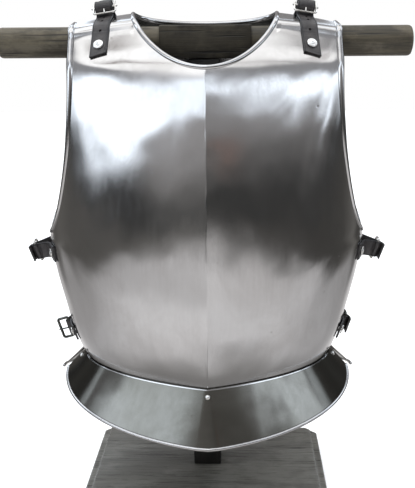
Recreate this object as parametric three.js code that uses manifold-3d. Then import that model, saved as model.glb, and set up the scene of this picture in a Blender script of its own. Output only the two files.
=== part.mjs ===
// Steel cuirass on a wooden stand: a ridged breastplate and a backplate, each with a flared
// skirt, held together by buckled leather straps and hung over the stand's crossbar.
// Millimetres, +Z up, the breastplate faces -Y, origin in the middle of the stand's underside.

import * as THREE from 'three';
import { mergeVertices } from 'three/addons/utils/BufferGeometryUtils.js';
import Module from 'manifold-3d';

const wasm = await Module();
wasm.setup();

// Plates
const plateWall = 1.6;
const seatGap = 0.3;
const strapGap = 0.6;
const skirtGap = 0.9;
const innerHeadGap = 1.3;
const buckleSlack = 1.5;
const plateSeam = 8;
const waistHeight = 193;
const torsoHeight = 450;
const chestHalfWidth = 207;
const breastDepth = 166;
const backDepth = 124;
const ridgeHeight = 24;
const shoulderDrop = 17;
const shoulderHalfWidth = 164;
const neckHalfWidth = 90;
const breastNeckHeight = 381;
const backNeckHeight = 433;
const armpitHeight = 166;
const rollDiameter = 5.6;

// Skirts
const skirtFrontLength = 73;
const skirtSideLength = 42;
const backSkirtSideLength = 49;
const skirtFrontFlare = 29;
const skirtSideFlare = 42;
const backSkirtSideFlare = 48;
const flangeWidth = 15;
const rimDiameter = 4.6;

// Straps and their hardware
const strapWidth = 21;
const strapThickness = 2.4;
const strapHole = 3.6;
const buckleWire = 3;
const tongueWire = 2.2;
const washerDiameter = 12.5;
const washerThickness = 1.4;
const rivetShank = 4;
const rivetDrill = 24;
const innerHeadLip = 1.2;
const innerHeadHeight = 1.4;
const strapRivetHead = 5.2;
const strapRivetRise = 0.9;
const shoulderRivetPlace = 46;
const sideRivetPlace = 33;
const skirtRivetHead = 6;
const skirtRivetRise = 2;
const skirtRivetReach = 9;
const skirtRivetTurn = 0.93;
const shoulderStrapOffset = 124;
const shoulderStrapLean = 0.1;
const shoulderBuckleRise = 12.3;
const shoulderBuckleTilt = 38;
const upperStrapHeight = 146;
const upperStrapDroop = 0.2;
const upperStrapReach = 23;
const upperStrapSpread = 8;
const lowerStrapHeight = 36;
const lowerStrapReach = 5.5;

// Stand
const crossbarLength = 521;
const crossbarDiameter = 38;
const crossbarChamfer = 4;
const hubLength = 115;
const hubSide = 41;
const postSide = 38;
const baseWidth = 330;
const baseDepth = 217;
const baseThickness = 20;
const baseStep = 8;
const baseInset = 11;
const baseCorner = 13;
const standTwist = -2.4;

// How finely the plates are divided
const halfColumns = 8;
const neckColumns = 5;
const plateRows = 15;
const sideRows = 5;
const neckPart = neckColumns / halfColumns;
const sidePart = sideRows / plateRows;

// Cross-sections of the torso from the waist up. up is a share of the torso's height, wide of the
// chest's half width, deep of the plate's depth, keel of the ridge's height, and drop of the fall
// from the neck to the shoulder's outer end. square is a power of the cosine: under 1 it makes a
// section boxier.
const breastSections = [
  { up: 0.0, wide: 0.8, deep: 0.89, keel: 1.0, square: 1, drop: 0 },
  { up: 0.035, wide: 0.838, deep: 0.92, keel: 1.0, square: 1, drop: 0 },
  { up: 0.09, wide: 0.882, deep: 0.95, keel: 0.9, square: 1, drop: 0 },
  { up: 0.165, wide: 0.918, deep: 0.98, keel: 0.8, square: 1, drop: 0 },
  { up: 0.27, wide: 0.97, deep: 1.0, keel: 0.7, square: 1, drop: 0 },
  { up: 0.37, wide: 1.0, deep: 0.985, keel: 0.7, square: 1, drop: 0 },
  { up: 0.5, wide: 0.98, deep: 0.935, keel: 0.75, square: 1, drop: 0 },
  { up: 0.62, wide: 0.955, deep: 0.855, keel: 0.8, square: 0.95, drop: 0 },
  { up: 0.73, wide: 0.94, deep: 0.75, keel: 0.8, square: 0.88, drop: 0.05 },
  { up: 0.847, wide: 0.915, deep: 0.58, keel: 0.7, square: 0.75, drop: 0.25 },
  { up: 0.9, wide: 0.9, deep: 0.42, keel: 0.5, square: 0.65, drop: 0.5 },
  { up: 0.95, wide: 0.875, deep: 0.262, keel: 0.2, square: 0.53, drop: 0.8 },
  { up: 0.978, wide: 0.86, deep: 0.19, keel: 0.1, square: 0.5, drop: 0.92 },
  { up: 1.0, wide: 0.845, deep: 0.0, keel: 0.0, square: 0.5, drop: 1.0 },
];
const backSections = [
  { up: 0.0, wide: 0.8, deep: 0.74, keel: 0, square: 0.7, drop: 0 },
  { up: 0.035, wide: 0.838, deep: 0.73, keel: 0, square: 0.71, drop: 0 },
  { up: 0.09, wide: 0.882, deep: 0.74, keel: 0, square: 0.76, drop: 0 },
  { up: 0.165, wide: 0.918, deep: 0.77, keel: 0, square: 0.85, drop: 0 },
  { up: 0.27, wide: 0.97, deep: 0.83, keel: 0, square: 0.95, drop: 0 },
  { up: 0.37, wide: 1.0, deep: 0.89, keel: 0, square: 1, drop: 0 },
  { up: 0.5, wide: 0.98, deep: 0.96, keel: 0, square: 1, drop: 0 },
  { up: 0.62, wide: 0.955, deep: 1.0, keel: 0, square: 0.95, drop: 0 },
  { up: 0.73, wide: 0.94, deep: 0.99, keel: 0, square: 0.88, drop: 0.05 },
  { up: 0.847, wide: 0.915, deep: 0.88, keel: 0, square: 0.75, drop: 0.25 },
  { up: 0.91, wide: 0.9, deep: 0.74, keel: 0, square: 0.65, drop: 0.5 },
  { up: 0.962, wide: 0.875, deep: 0.53, keel: 0, square: 0.55, drop: 0.8 },
  { up: 0.985, wide: 0.86, deep: 0.32, keel: 0, square: 0.5, drop: 0.93 },
  { up: 1.0, wide: 0.845, deep: 0.0, keel: 0, square: 0.5, drop: 1.0 },
];

// Armhole edges from the armpit to the shoulder: up as a share of that rise, around as a share of
// the quarter turn from the front to the side.
const breastArmhole = [
  { up: 0.0, around: 1.0 },
  { up: 0.025, around: 0.86 },
  { up: 0.08, around: 0.765 },
  { up: 0.2, around: 0.705 },
  { up: 0.36, around: 0.67 },
  { up: 0.55, around: 0.652 },
  { up: 0.72, around: 0.66 },
  { up: 0.85, around: 0.687 },
  { up: 0.94, around: 0.73 },
  { up: 1.0, around: 0.772 },
];
const backArmhole = [
  { up: 0.0, around: 1.0 },
  { up: 0.08, around: 0.88 },
  { up: 0.2, around: 0.81 },
  { up: 0.35, around: 0.76 },
  { up: 0.5, around: 0.73 },
  { up: 0.65, around: 0.715 },
  { up: 0.8, around: 0.715 },
  { up: 0.91, around: 0.735 },
  { up: 1.0, around: 0.77 },
];

// The two halves of the cuirass: which way they face, and the sizes that shape them.
const breast = {
  facing: -1,
  depth: breastDepth,
  sections: breastSections,
  armhole: breastArmhole,
  neckShare: breastNeckHeight / torsoHeight,
  neckRound: 1.4,
  sideFlare: skirtSideFlare,
  sideLength: skirtSideLength,
};
const back = {
  facing: 1,
  depth: backDepth,
  sections: backSections,
  armhole: backArmhole,
  neckShare: backNeckHeight / torsoHeight,
  neckRound: 1.2,
  sideFlare: backSkirtSideFlare,
  sideLength: backSkirtSideLength,
};

const steel = { color: 0x9d9c9a, roughness: 0.32, metalness: 1.0 };
const darkSteel = { color: 0x83817d, roughness: 0.36, metalness: 1.0 };
const nickel = { color: 0xc9c8c4, roughness: 0.22, metalness: 1.0 };
const leather = { color: 0x1b1a1c, roughness: 0.48, metalness: 0.0 };
const wood = { color: 0x4a423b, roughness: 0.75, metalness: 0.0 };

const cuirass = new THREE.Group();

function addMesh(name, geometry, finish) {
  const mesh = new THREE.Mesh(geometry, new THREE.MeshStandardMaterial(finish));
  mesh.name = name;
  cuirass.add(mesh);
  return mesh;
}

// Solids for joining and cutting

function toSolid(geometry) {
  const bare = new THREE.BufferGeometry();
  bare.setAttribute('position', geometry.getAttribute('position').clone());
  if (geometry.index) bare.setIndex(geometry.index.clone());
  const merged = mergeVertices(bare, 1e-4);
  const vertProperties = new Float32Array(merged.getAttribute('position').array);
  const triVerts = new Uint32Array(merged.index.array);
  return new wasm.Manifold(new wasm.Mesh({ numProp: 3, vertProperties, triVerts }));
}

function toGeometry(solid) {
  const mesh = solid.getMesh();
  const geometry = new THREE.BufferGeometry();
  geometry.setAttribute('position', new THREE.BufferAttribute(new Float32Array(mesh.vertProperties), 3));
  geometry.setIndex(new THREE.BufferAttribute(new Uint32Array(mesh.triVerts), 1));
  geometry.computeVertexNormals();
  return geometry;
}

function joined(...geometries) {
  return toGeometry(geometries.map(toSolid).reduce((whole, piece) => whole.add(piece)));
}

function cut(geometry, ...cutters) {
  const whole = toSolid(geometry);
  return toGeometry(cutters.map(toSolid).reduce((rest, cutter) => rest.subtract(cutter), whole));
}

// A closed wall between two grids of points, the first on the outside. Rows run first.
function wallBetween(outer, inner) {
  const rows = outer.length;
  const columns = outer[0].length;
  const positions = [...outer.flat(), ...inner.flat()].flatMap((point) => point.toArray());
  const index = [];
  const outerAt = (row, column) => row * columns + column;
  const innerAt = (row, column) => rows * columns + row * columns + column;
  const quad = (a, b, c, d) => index.push(a, b, c, a, c, d);
  for (let row = 0; row < rows - 1; row += 1) {
    for (let column = 0; column < columns - 1; column += 1) {
      const next = column + 1;
      quad(outerAt(row, column), outerAt(row, next), outerAt(row + 1, next), outerAt(row + 1, column));
      quad(innerAt(row, column), innerAt(row + 1, column), innerAt(row + 1, next), innerAt(row, next));
    }
  }
  for (let column = 0; column < columns - 1; column += 1) {
    quad(innerAt(0, column), innerAt(0, column + 1), outerAt(0, column + 1), outerAt(0, column));
    const top = rows - 1;
    quad(outerAt(top, column), outerAt(top, column + 1), innerAt(top, column + 1), innerAt(top, column));
  }
  for (let row = 0; row < rows - 1; row += 1) {
    quad(innerAt(row, 0), outerAt(row, 0), outerAt(row + 1, 0), innerAt(row + 1, 0));
    const last = columns - 1;
    quad(outerAt(row, last), innerAt(row, last), innerAt(row + 1, last), outerAt(row + 1, last));
  }
  const geometry = new THREE.BufferGeometry();
  geometry.setAttribute('position', new THREE.Float32BufferAttribute(positions, 3));
  geometry.setIndex(index);
  return facingOut(geometry);
}

// Turns a closed mesh's triangles round if its faces point inwards.
function facingOut(geometry) {
  const positions = geometry.getAttribute('position');
  const index = Array.from(geometry.index.array);
  const corners = [0, 1, 2].map(() => new THREE.Vector3());
  let volume = 0;
  for (let start = 0; start < index.length; start += 3) {
    corners.forEach((corner, place) => corner.fromBufferAttribute(positions, index[start + place]));
    volume += corners[0].dot(corners[1].clone().cross(corners[2]));
  }
  if (volume < 0) {
    for (let start = 0; start < index.length; start += 3) {
      [index[start], index[start + 1]] = [index[start + 1], index[start]];
    }
    geometry.setIndex(index);
  }
  geometry.computeVertexNormals();
  return geometry;
}

// The shape of the torso

const mix = THREE.MathUtils.lerp;
const quarterTurn = Math.PI / 2;

// A smooth curve through a table's rows, read at a share of its first column.
function readTable(rows, key, share) {
  let row = 0;
  while (row < rows.length - 2 && share > rows[row + 1].up) row += 1;
  const slopeAt = (place) => {
    const before = rows[Math.max(place - 1, 0)];
    const after = rows[Math.min(place + 1, rows.length - 1)];
    return (after[key] - before[key]) / (after.up - before.up);
  };
  const span = rows[row + 1].up - rows[row].up;
  const part = (share - rows[row].up) / span;
  const partSquared = part * part;
  const partCubed = partSquared * part;
  return (2 * partCubed - 3 * partSquared + 1) * rows[row][key]
    + (partCubed - 2 * partSquared + part) * span * slopeAt(row)
    + (3 * partSquared - 2 * partCubed) * rows[row + 1][key]
    + (partCubed - partSquared) * span * slopeAt(row + 1);
}

// The outer face of a plate at an angle from its middle (0) to the side seam (a quarter turn).
function torsoPoint(half, angle, up) {
  const width = chestHalfWidth * readTable(half.sections, 'wide', up);
  const reach = (half.depth - plateSeam / 2) * readTable(half.sections, 'deep', up);
  const keel = ridgeHeight * readTable(half.sections, 'keel', up);
  const fall = shoulderDrop * readTable(half.sections, 'drop', up);
  const across = Math.sin(angle);
  const square = readTable(half.sections, 'square', up);
  const round = Math.max(Math.cos(angle), 0) ** square;
  const ahead = (reach - keel) * round + keel * (1 - Math.abs(across)) ** 2;
  const x = width * across;
  const z = waistHeight + torsoHeight * up - fall * (x / shoulderHalfWidth) ** 2;
  return new THREE.Vector3(x, half.facing * (plateSeam / 2 + ahead), z);
}

// Neck edge of a plate, from the middle (0) to the shoulder (1), as an angle and a height share.
function neckEdge(half, share) {
  const turn = share * quarterTurn;
  const up = mix(half.neckShare, 1, 1 - Math.cos(turn) ** half.neckRound);
  const width = chestHalfWidth * readTable(half.sections, 'wide', up);
  return new THREE.Vector2(Math.asin((neckHalfWidth * Math.sin(turn)) / width), up);
}

// Side edge and armhole of a plate, from the waist (0) to the shoulder (1).
function sideEdge(half, share) {
  const armpitUp = armpitHeight / torsoHeight;
  if (share <= sidePart) return new THREE.Vector2(quarterTurn, (armpitUp * share) / sidePart);
  const rise = (share - sidePart) / (1 - sidePart);
  return new THREE.Vector2(quarterTurn * readTable(half.armhole, 'around', rise), mix(armpitUp, 1, rise));
}

function topEdge(half, share) {
  if (share <= neckPart) return neckEdge(half, share / neckPart);
  const corner = neckEdge(half, 1);
  const outer = sideEdge(half, 1);
  return corner.lerp(outer, (share - neckPart) / (1 - neckPart));
}

// How far up its edges a plate's row lies; rows crowd towards the shoulder's bend.
function rowShare(row) {
  if (row <= sideRows) return row / plateRows;
  const rise = (row - sideRows) / (plateRows - sideRows);
  return mix(1, sidePart, (1 - rise) ** 1.5);
}

// A place on one side of a plate between its four edges, along and up both from 0 to 1.
function platePlace(half, along, up) {
  const bottom = new THREE.Vector2(quarterTurn * along, 0);
  const top = topEdge(half, along);
  const middle = new THREE.Vector2(0, half.neckShare * up);
  const side = sideEdge(half, up);
  const corners = new THREE.Vector2()
    .addScaledVector(new THREE.Vector2(quarterTurn, 0), along * (1 - up))
    .addScaledVector(topEdge(half, 0), (1 - along) * up)
    .addScaledVector(topEdge(half, 1), along * up);
  return new THREE.Vector2()
    .addScaledVector(bottom, 1 - up)
    .addScaledVector(top, up)
    .addScaledVector(middle, 1 - along)
    .addScaledVector(side, along)
    .sub(corners);
}

function torsoNormal(half, angle, up) {
  const step = 0.002;
  const before = Math.max(up - step, 0);
  const after = Math.min(up + step, 1);
  const sideways = torsoPoint(half, angle + step, up).sub(torsoPoint(half, angle - step, up));
  const upwards = torsoPoint(half, angle, after).sub(torsoPoint(half, angle, before));
  return sideways.cross(upwards).multiplyScalar(-half.facing).normalize();
}

const mirrorPoint = (point) => new THREE.Vector3(-point.x, point.y, point.z);

// Skirts: flared bands that start in the waist's crease

function waistOutward(half, angle) {
  const step = 0.01;
  const along = torsoPoint(half, angle + step, 0).sub(torsoPoint(half, angle - step, 0));
  return new THREE.Vector3(-half.facing * along.y, half.facing * along.x, 0).normalize();
}

// A point of the flared surface, reach along it from the crease and lift off it.
function flarePoint(half, angle, reach, lift) {
  const sideShare = (angle / quarterTurn) ** 4;
  const flare = THREE.MathUtils.degToRad(mix(skirtFrontFlare, half.sideFlare, sideShare));
  const outward = waistOutward(half, angle);
  const slope = outward.clone().multiplyScalar(Math.sin(flare)).setZ(-Math.cos(flare));
  const normal = outward.clone().multiplyScalar(Math.cos(flare)).setZ(Math.sin(flare));
  return torsoPoint(half, angle, 0).addScaledVector(slope, reach).addScaledVector(normal, lift);
}

function skirtLength(half, angle) {
  return mix(half.sideLength, skirtFrontLength, Math.cos(angle));
}

// Edge rolls

function midWall(half, place) {
  const normal = torsoNormal(half, place.x, place.y);
  return torsoPoint(half, place.x, place.y).addScaledVector(normal, -plateWall / 2);
}

// One six-sided ring of an edge's roll: its outer and its inner three points. away is 1 or -1.
function rollRing(half, edge, share, away) {
  const step = 0.004;
  const before = midWall(half, edge(half, Math.max(share - step, 0)));
  const after = midWall(half, edge(half, Math.min(share + step, 1)));
  const place = edge(half, share);
  const normal = torsoNormal(half, place.x, place.y);
  const outward = after.sub(before).cross(normal).multiplyScalar(away).normalize();
  const centre = midWall(half, place);
  const around = (degrees) => {
    const turn = THREE.MathUtils.degToRad(degrees);
    return centre.clone()
      .addScaledVector(outward, (rollDiameter / 2) * Math.cos(turn))
      .addScaledVector(normal, (rollDiameter / 2) * Math.sin(turn));
  };
  return [[135, 80, 25].map(around), [-135, -80, -25].map(around)];
}

function rollGeometry(rings) {
  return wallBetween(rings.map((ring) => ring[0]), rings.map((ring) => ring[1]));
}

const mirrorRing = (ring) => ring.map((points) => points.map(mirrorPoint));

// Breastplate or backplate: one wall with a flange behind the skirt and rolled neck and armholes.
function plateGeometry(half) {
  const outer = [];
  const inner = [];
  const addRow = (pointAt) => {
    const right = [];
    for (let column = 0; column <= halfColumns; column += 1) right.push(pointAt(column / halfColumns));
    const left = right.slice(1).reverse().map((pair) => pair.map(mirrorPoint));
    const whole = [...left, ...right];
    const ordered = half.facing < 0 ? whole : whole.reverse();
    outer.push(ordered.map((pair) => pair[0]));
    inner.push(ordered.map((pair) => pair[1]));
  };
  for (const reach of [flangeWidth, flangeWidth / 2]) {
    addRow((along) => {
      const angle = quarterTurn * along;
      return [flarePoint(half, angle, reach, 0), flarePoint(half, angle, reach, -plateWall)];
    });
  }
  for (let row = 0; row <= plateRows; row += 1) {
    addRow((along) => {
      const place = platePlace(half, along, rowShare(row));
      const point = torsoPoint(half, place.x, place.y);
      const normal = torsoNormal(half, place.x, place.y);
      return [point, point.clone().addScaledVector(normal, -plateWall)];
    });
  }
  const wall = wallBetween(outer, inner);
  const armRings = [];
  for (let row = sideRows; row <= plateRows; row += 1) {
    const share = Math.max(rowShare(row), sidePart + 0.005);
    armRings.push(rollRing(half, sideEdge, share, -half.facing));
  }
  const neckRings = [];
  for (let column = 0; column <= neckColumns; column += 1) {
    neckRings.push(rollRing(half, neckEdge, column / neckColumns, half.facing));
  }
  const neck = [...neckRings.slice(1).reverse().map(mirrorRing), ...neckRings];
  return joined(wall, rollGeometry(armRings), rollGeometry(armRings.map(mirrorRing)), rollGeometry(neck));
}

// Skirt band with a rolled lower rim: rows down its two faces go on round the rim's circle.
function skirtGeometry(half) {
  const faceRows = [0.02, 0.5, 1];
  const rimTurns = [0.15, 0.4, 0.7, 0.92];
  const rows = (way) => {
    const flat = faceRows.map((share) => ({ share, beyond: 0, lift: (way * plateWall) / 2 }));
    const round = rimTurns.map((turn) => ({
      share: 1,
      beyond: (rimDiameter / 2) * (1 - Math.cos(Math.PI * turn)),
      lift: way * (rimDiameter / 2) * Math.sin(Math.PI * turn),
    }));
    return [...flat, ...round].reverse();
  };
  const pointAt = (column, row) => {
    const share = (half.facing * -column) / halfColumns;
    const angle = Math.abs(share) * quarterTurn;
    const reach = row.share * skirtLength(half, angle) - rimDiameter * row.share + row.beyond;
    const point = flarePoint(half, angle, reach, skirtGap + plateWall / 2 + row.lift);
    return share < 0 ? mirrorPoint(point) : point;
  };
  const columns = [...Array(2 * halfColumns + 1).keys()].map((column) => column - halfColumns);
  const grid = (way) => rows(way).map((row) => columns.map((column) => pointAt(column, row)));
  return wallBetween(grid(1), grid(-1));
}

// Stand

function baseOutline(inset) {
  const halfWidth = baseWidth / 2 - inset;
  const halfDepth = baseDepth / 2 - inset;
  const outline = new THREE.Shape();
  outline.moveTo(halfWidth - baseCorner, -halfDepth);
  outline.lineTo(halfWidth, -halfDepth + baseCorner);
  outline.lineTo(halfWidth, halfDepth - baseCorner);
  outline.lineTo(halfWidth - baseCorner, halfDepth);
  outline.lineTo(-halfWidth + baseCorner, halfDepth);
  outline.lineTo(-halfWidth, halfDepth - baseCorner);
  outline.lineTo(-halfWidth, -halfDepth + baseCorner);
  outline.lineTo(-halfWidth + baseCorner, -halfDepth);
  outline.closePath();
  return outline;
}

const rollRadius = rollDiameter / 2;
const shoulderRollHeight = midWall(breast, sideEdge(breast, 1)).z;
const crossbarHeight = shoulderRollHeight - rollRadius - 2 * seatGap - crossbarDiameter / 2;
const hubBottom = crossbarHeight - hubSide / 2;

function addStand() {
  const twist = THREE.MathUtils.degToRad(standTwist);
  const layer = (inset, depth) => {
    return new THREE.ExtrudeGeometry(baseOutline(inset), { depth, bevelEnabled: false });
  };
  const lower = layer(0, baseThickness - baseStep);
  const upper = layer(baseInset, baseThickness);
  addMesh('base_board', joined(lower, upper), wood).rotation.z = twist;

  const postHeight = hubBottom - baseThickness - 2 * seatGap;
  const post = new THREE.BoxGeometry(postSide, postSide, postHeight);
  post.translate(0, 0, baseThickness + seatGap + postHeight / 2);
  addMesh('post', post, wood).rotation.z = twist;

  const radius = crossbarDiameter / 2;
  const half = crossbarLength / 2;
  const profile = [
    new THREE.Vector2(0, -half),
    new THREE.Vector2(radius - crossbarChamfer, -half),
    new THREE.Vector2(radius, -half + crossbarChamfer),
    new THREE.Vector2(radius, half - crossbarChamfer),
    new THREE.Vector2(radius - crossbarChamfer, half),
    new THREE.Vector2(0, half),
  ];
  const dowel = new THREE.LatheGeometry(profile, 24);
  dowel.rotateZ(-quarterTurn);
  dowel.translate(0, 0, crossbarHeight);
  const hub = new THREE.BoxGeometry(hubLength, hubSide, hubSide);
  hub.translate(0, 0, crossbarHeight);
  addMesh('crossbar', joined(dowel, hub), wood);
}

// Places on the outer face of the cuirass, with the normal there

function shoulderSpot(x, y) {
  const half = y < 0 ? breast : back;
  const target = Math.max(Math.abs(y), plateSeam / 2);
  const angleAt = (up) => Math.asin(x / (chestHalfWidth * readTable(half.sections, 'wide', up)));
  let low = half.neckShare * 0.8;
  let high = 1;
  for (let pass = 0; pass < 40; pass += 1) {
    const middle = (low + high) / 2;
    if (Math.abs(torsoPoint(half, angleAt(middle), middle).y) > target) low = middle;
    else high = middle;
  }
  return torsoPoint(half, angleAt(high), high).setY(y);
}

function sideSpot(height, y) {
  const half = y < 0 ? breast : back;
  const target = Math.max(Math.abs(y), plateSeam / 2);
  const up = height / torsoHeight;
  let low = quarterTurn / 2;
  let high = quarterTurn;
  for (let pass = 0; pass < 40; pass += 1) {
    const middle = (low + high) / 2;
    if (Math.abs(torsoPoint(half, middle, up).y) > target) low = middle;
    else high = middle;
  }
  return torsoPoint(half, high, up).setY(y);
}

// How straps lie: spot(along, across) is a place on the plates, and over it rises the outward
// direction of the whole strap. A strap that droops turns down as it rises, up to its buckle.
function shoulderLay() {
  const spot = (along, across) => {
    const x = shoulderStrapOffset - shoulderStrapLean * along + across;
    return shoulderSpot(x, along);
  };
  return makeLay(spot, 0, 1);
}

function sideLay(height, droop, reach) {
  const spot = (along, across) => sideSpot(height - across, along);
  return makeLay(spot, droop, reach);
}

function makeLay(spot, droop, reach) {
  const step = 1.5;
  const normalAt = (along, across) => {
    const ahead = spot(along + step, across).sub(spot(along - step, across));
    const sideways = spot(along, across + step).sub(spot(along, across - step));
    return sideways.cross(ahead).normalize();
  };
  const level = normalAt(0, 0);
  const downward = spot(0, step).sub(spot(0, -step)).normalize();
  const outward = level.clone().addScaledVector(downward, droop).normalize();
  const across = downward.clone().addScaledVector(level, -droop).normalize();
  const along = new THREE.Vector3().crossVectors(outward, across);
  const turned = (lift) => (droop > 0 ? THREE.MathUtils.clamp(lift / reach, 0, 1) : 0);
  return { spot, normalAt, outward, across, along, turned };
}

const strapSeat = strapGap + strapThickness / 2;

function strapPoint(lay, along, across, lift) {
  const seatAt = (place) => lay.spot(along, place).addScaledVector(lay.normalAt(along, place), strapSeat);
  return seatAt(across)
    .lerp(seatAt(0).addScaledVector(lay.across, across), lay.turned(lift))
    .addScaledVector(lay.outward, lift);
}

// A strap through stations of along and lift, with square ends.
function stripGeometry(lay, stations, rows, columns) {
  const knots = stations.map(([along, lift]) => new THREE.Vector3(along, lift, 0));
  const route = new THREE.CatmullRomCurve3(knots);
  const shares = [...Array(columns + 1).keys()].map((column) => column / columns - 0.5);
  const centres = [];
  for (let row = 0; row <= rows; row += 1) {
    const place = route.getPoint(row / rows);
    centres.push(shares.map((share) => strapPoint(lay, place.x, share * strapWidth, place.y)));
  }
  const outer = [];
  const inner = [];
  centres.forEach((line, row) => {
    const before = centres[Math.max(row - 1, 0)];
    const after = centres[Math.min(row + 1, rows)];
    const width = line[columns].clone().sub(line[0]);
    const lifted = line.map((centre, column) => {
      const normal = width.clone().cross(after[column].clone().sub(before[column])).normalize();
      return [1, -1].map((way) => centre.clone().addScaledVector(normal, (way * strapThickness) / 2));
    });
    outer.push(lifted.map((pair) => pair[0]));
    inner.push(lifted.map((pair) => pair[1]));
  });
  return wallBetween(outer, inner);
}

// A frame of axes for hardware: x across the strap, y along it, z out of the plates.
function hardwareFrame(lay, centre, tilt) {
  const turn = THREE.MathUtils.degToRad(tilt);
  const forward = lay.along.clone().multiplyScalar(Math.cos(turn))
    .addScaledVector(lay.outward, Math.sin(turn));
  const upward = lay.across.clone().cross(forward);
  return new THREE.Matrix4().makeBasis(lay.across, forward, upward).setPosition(centre);
}

function rod(radius, length, sides) {
  return new THREE.CylinderGeometry(radius, radius, length, sides);
}

const heelRadius = buckleWire / Math.SQRT2;
const sleeveRadius = heelRadius + seatGap + strapThickness;
const buckleInside = strapWidth + 2 * buckleSlack;
const buckleOutside = buckleInside + 2 * buckleWire;

// A buckle's flat frame. The heel bar lies on the frame's x axis, front and rear are how far the
// other bars' middles lie before and behind it, and a round rear bows out.
function buckleGeometry(front, rear, bow) {
  const half = buckleWire / 2;
  const outline = (grow, from, to, bulge) => {
    const path = new THREE.Path();
    const side = buckleInside / 2 + grow;
    path.moveTo(-side, from);
    path.lineTo(side, from);
    path.lineTo(side, to);
    if (bulge > 0) path.quadraticCurveTo(0, to + 2 * bulge, -side, to);
    else path.lineTo(-side, to);
    path.closePath();
    return path;
  };
  const shape = new THREE.Shape(outline(buckleWire, front - half, rear + half, bow).getPoints(8));
  if (front < -half) shape.holes.push(outline(0, front + half, -half, 0));
  shape.holes.push(outline(0, half, rear - half, bow));
  const settings = { depth: buckleWire, bevelEnabled: false, curveSegments: 8 };
  const frame = new THREE.ExtrudeGeometry(shape, settings);
  frame.translate(0, 0, -half);
  return frame;
}

// A tongue: a ring round the heel bar and a wire to the bar at reach, over which it rests.
function tongueGeometry(reach, grow) {
  const width = tongueWire + 2 * grow;
  const collar = grow > 0
    ? new THREE.BoxGeometry(width, 2 * (sleeveRadius + grow), 2 * (sleeveRadius + grow))
    : ringGeometry(heelRadius + seatGap, sleeveRadius, width);
  const lift = heelRadius + seatGap + tongueWire / 2;
  const length = Math.abs(reach) + 2;
  const wire = rod(width / 2, length - heelRadius - 2 * seatGap + grow, 6);
  wire.translate(0, Math.sign(reach) * (length / 2 + heelRadius / 2 + seatGap + grow / 2), lift);
  return joined(collar, wire);
}

// A ring round the x axis.
function ringGeometry(inside, outside, width) {
  const ring = new THREE.Shape();
  ring.absarc(0, 0, outside, 0, 2 * Math.PI, false);
  const hole = new THREE.Path();
  hole.absarc(0, 0, inside, 0, 2 * Math.PI, true);
  ring.holes.push(hole);
  const geometry = new THREE.ExtrudeGeometry(ring, { depth: width, bevelEnabled: false, curveSegments: 4 });
  return geometry.translate(0, 0, -width / 2).rotateY(quarterTurn);
}

// A rivet's profile: an inner head, its shank and a domed outer head, which may lie on a washer.
function rivetGeometry(grip, headRadius, headHeight, washer) {
  const shank = rivetShank / 2;
  const innerHead = -grip - innerHeadGap;
  const profile = [
    new THREE.Vector2(0, innerHead - innerHeadHeight),
    new THREE.Vector2(shank + innerHeadLip, innerHead - innerHeadHeight),
    new THREE.Vector2(shank + innerHeadLip, innerHead),
    new THREE.Vector2(shank, innerHead),
    new THREE.Vector2(shank, seatGap),
  ];
  if (washer) {
    profile.push(new THREE.Vector2(washerDiameter / 2, seatGap));
    profile.push(new THREE.Vector2(headRadius, seatGap + washerThickness));
  } else {
    profile.push(new THREE.Vector2(headRadius, seatGap));
  }
  const base = washer ? seatGap + washerThickness : seatGap;
  profile.push(new THREE.Vector2(headRadius * 0.8, base + headHeight * 0.7));
  profile.push(new THREE.Vector2(0, base + headHeight));
  const rivet = new THREE.LatheGeometry(profile, 6);
  rivet.rotateX(quarterTurn);
  return rivet;
}

function standOn(geometry, point, normal) {
  const turn = new THREE.Quaternion().setFromUnitVectors(new THREE.Vector3(0, 0, 1), normal);
  return geometry.applyQuaternion(turn).translate(point.x, point.y, point.z);
}

function mirrored(geometry) {
  const copy = geometry.clone().scale(-1, 1, 1);
  if (!copy.index) copy.setIndex([...Array(copy.getAttribute('position').count).keys()]);
  return facingOut(copy);
}

const plateHoles = { breastplate: [], backplate: [] };
const skirtHoles = { front_skirt: [], back_skirt: [] };

const bothSides = ['right', 'left'];

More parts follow.
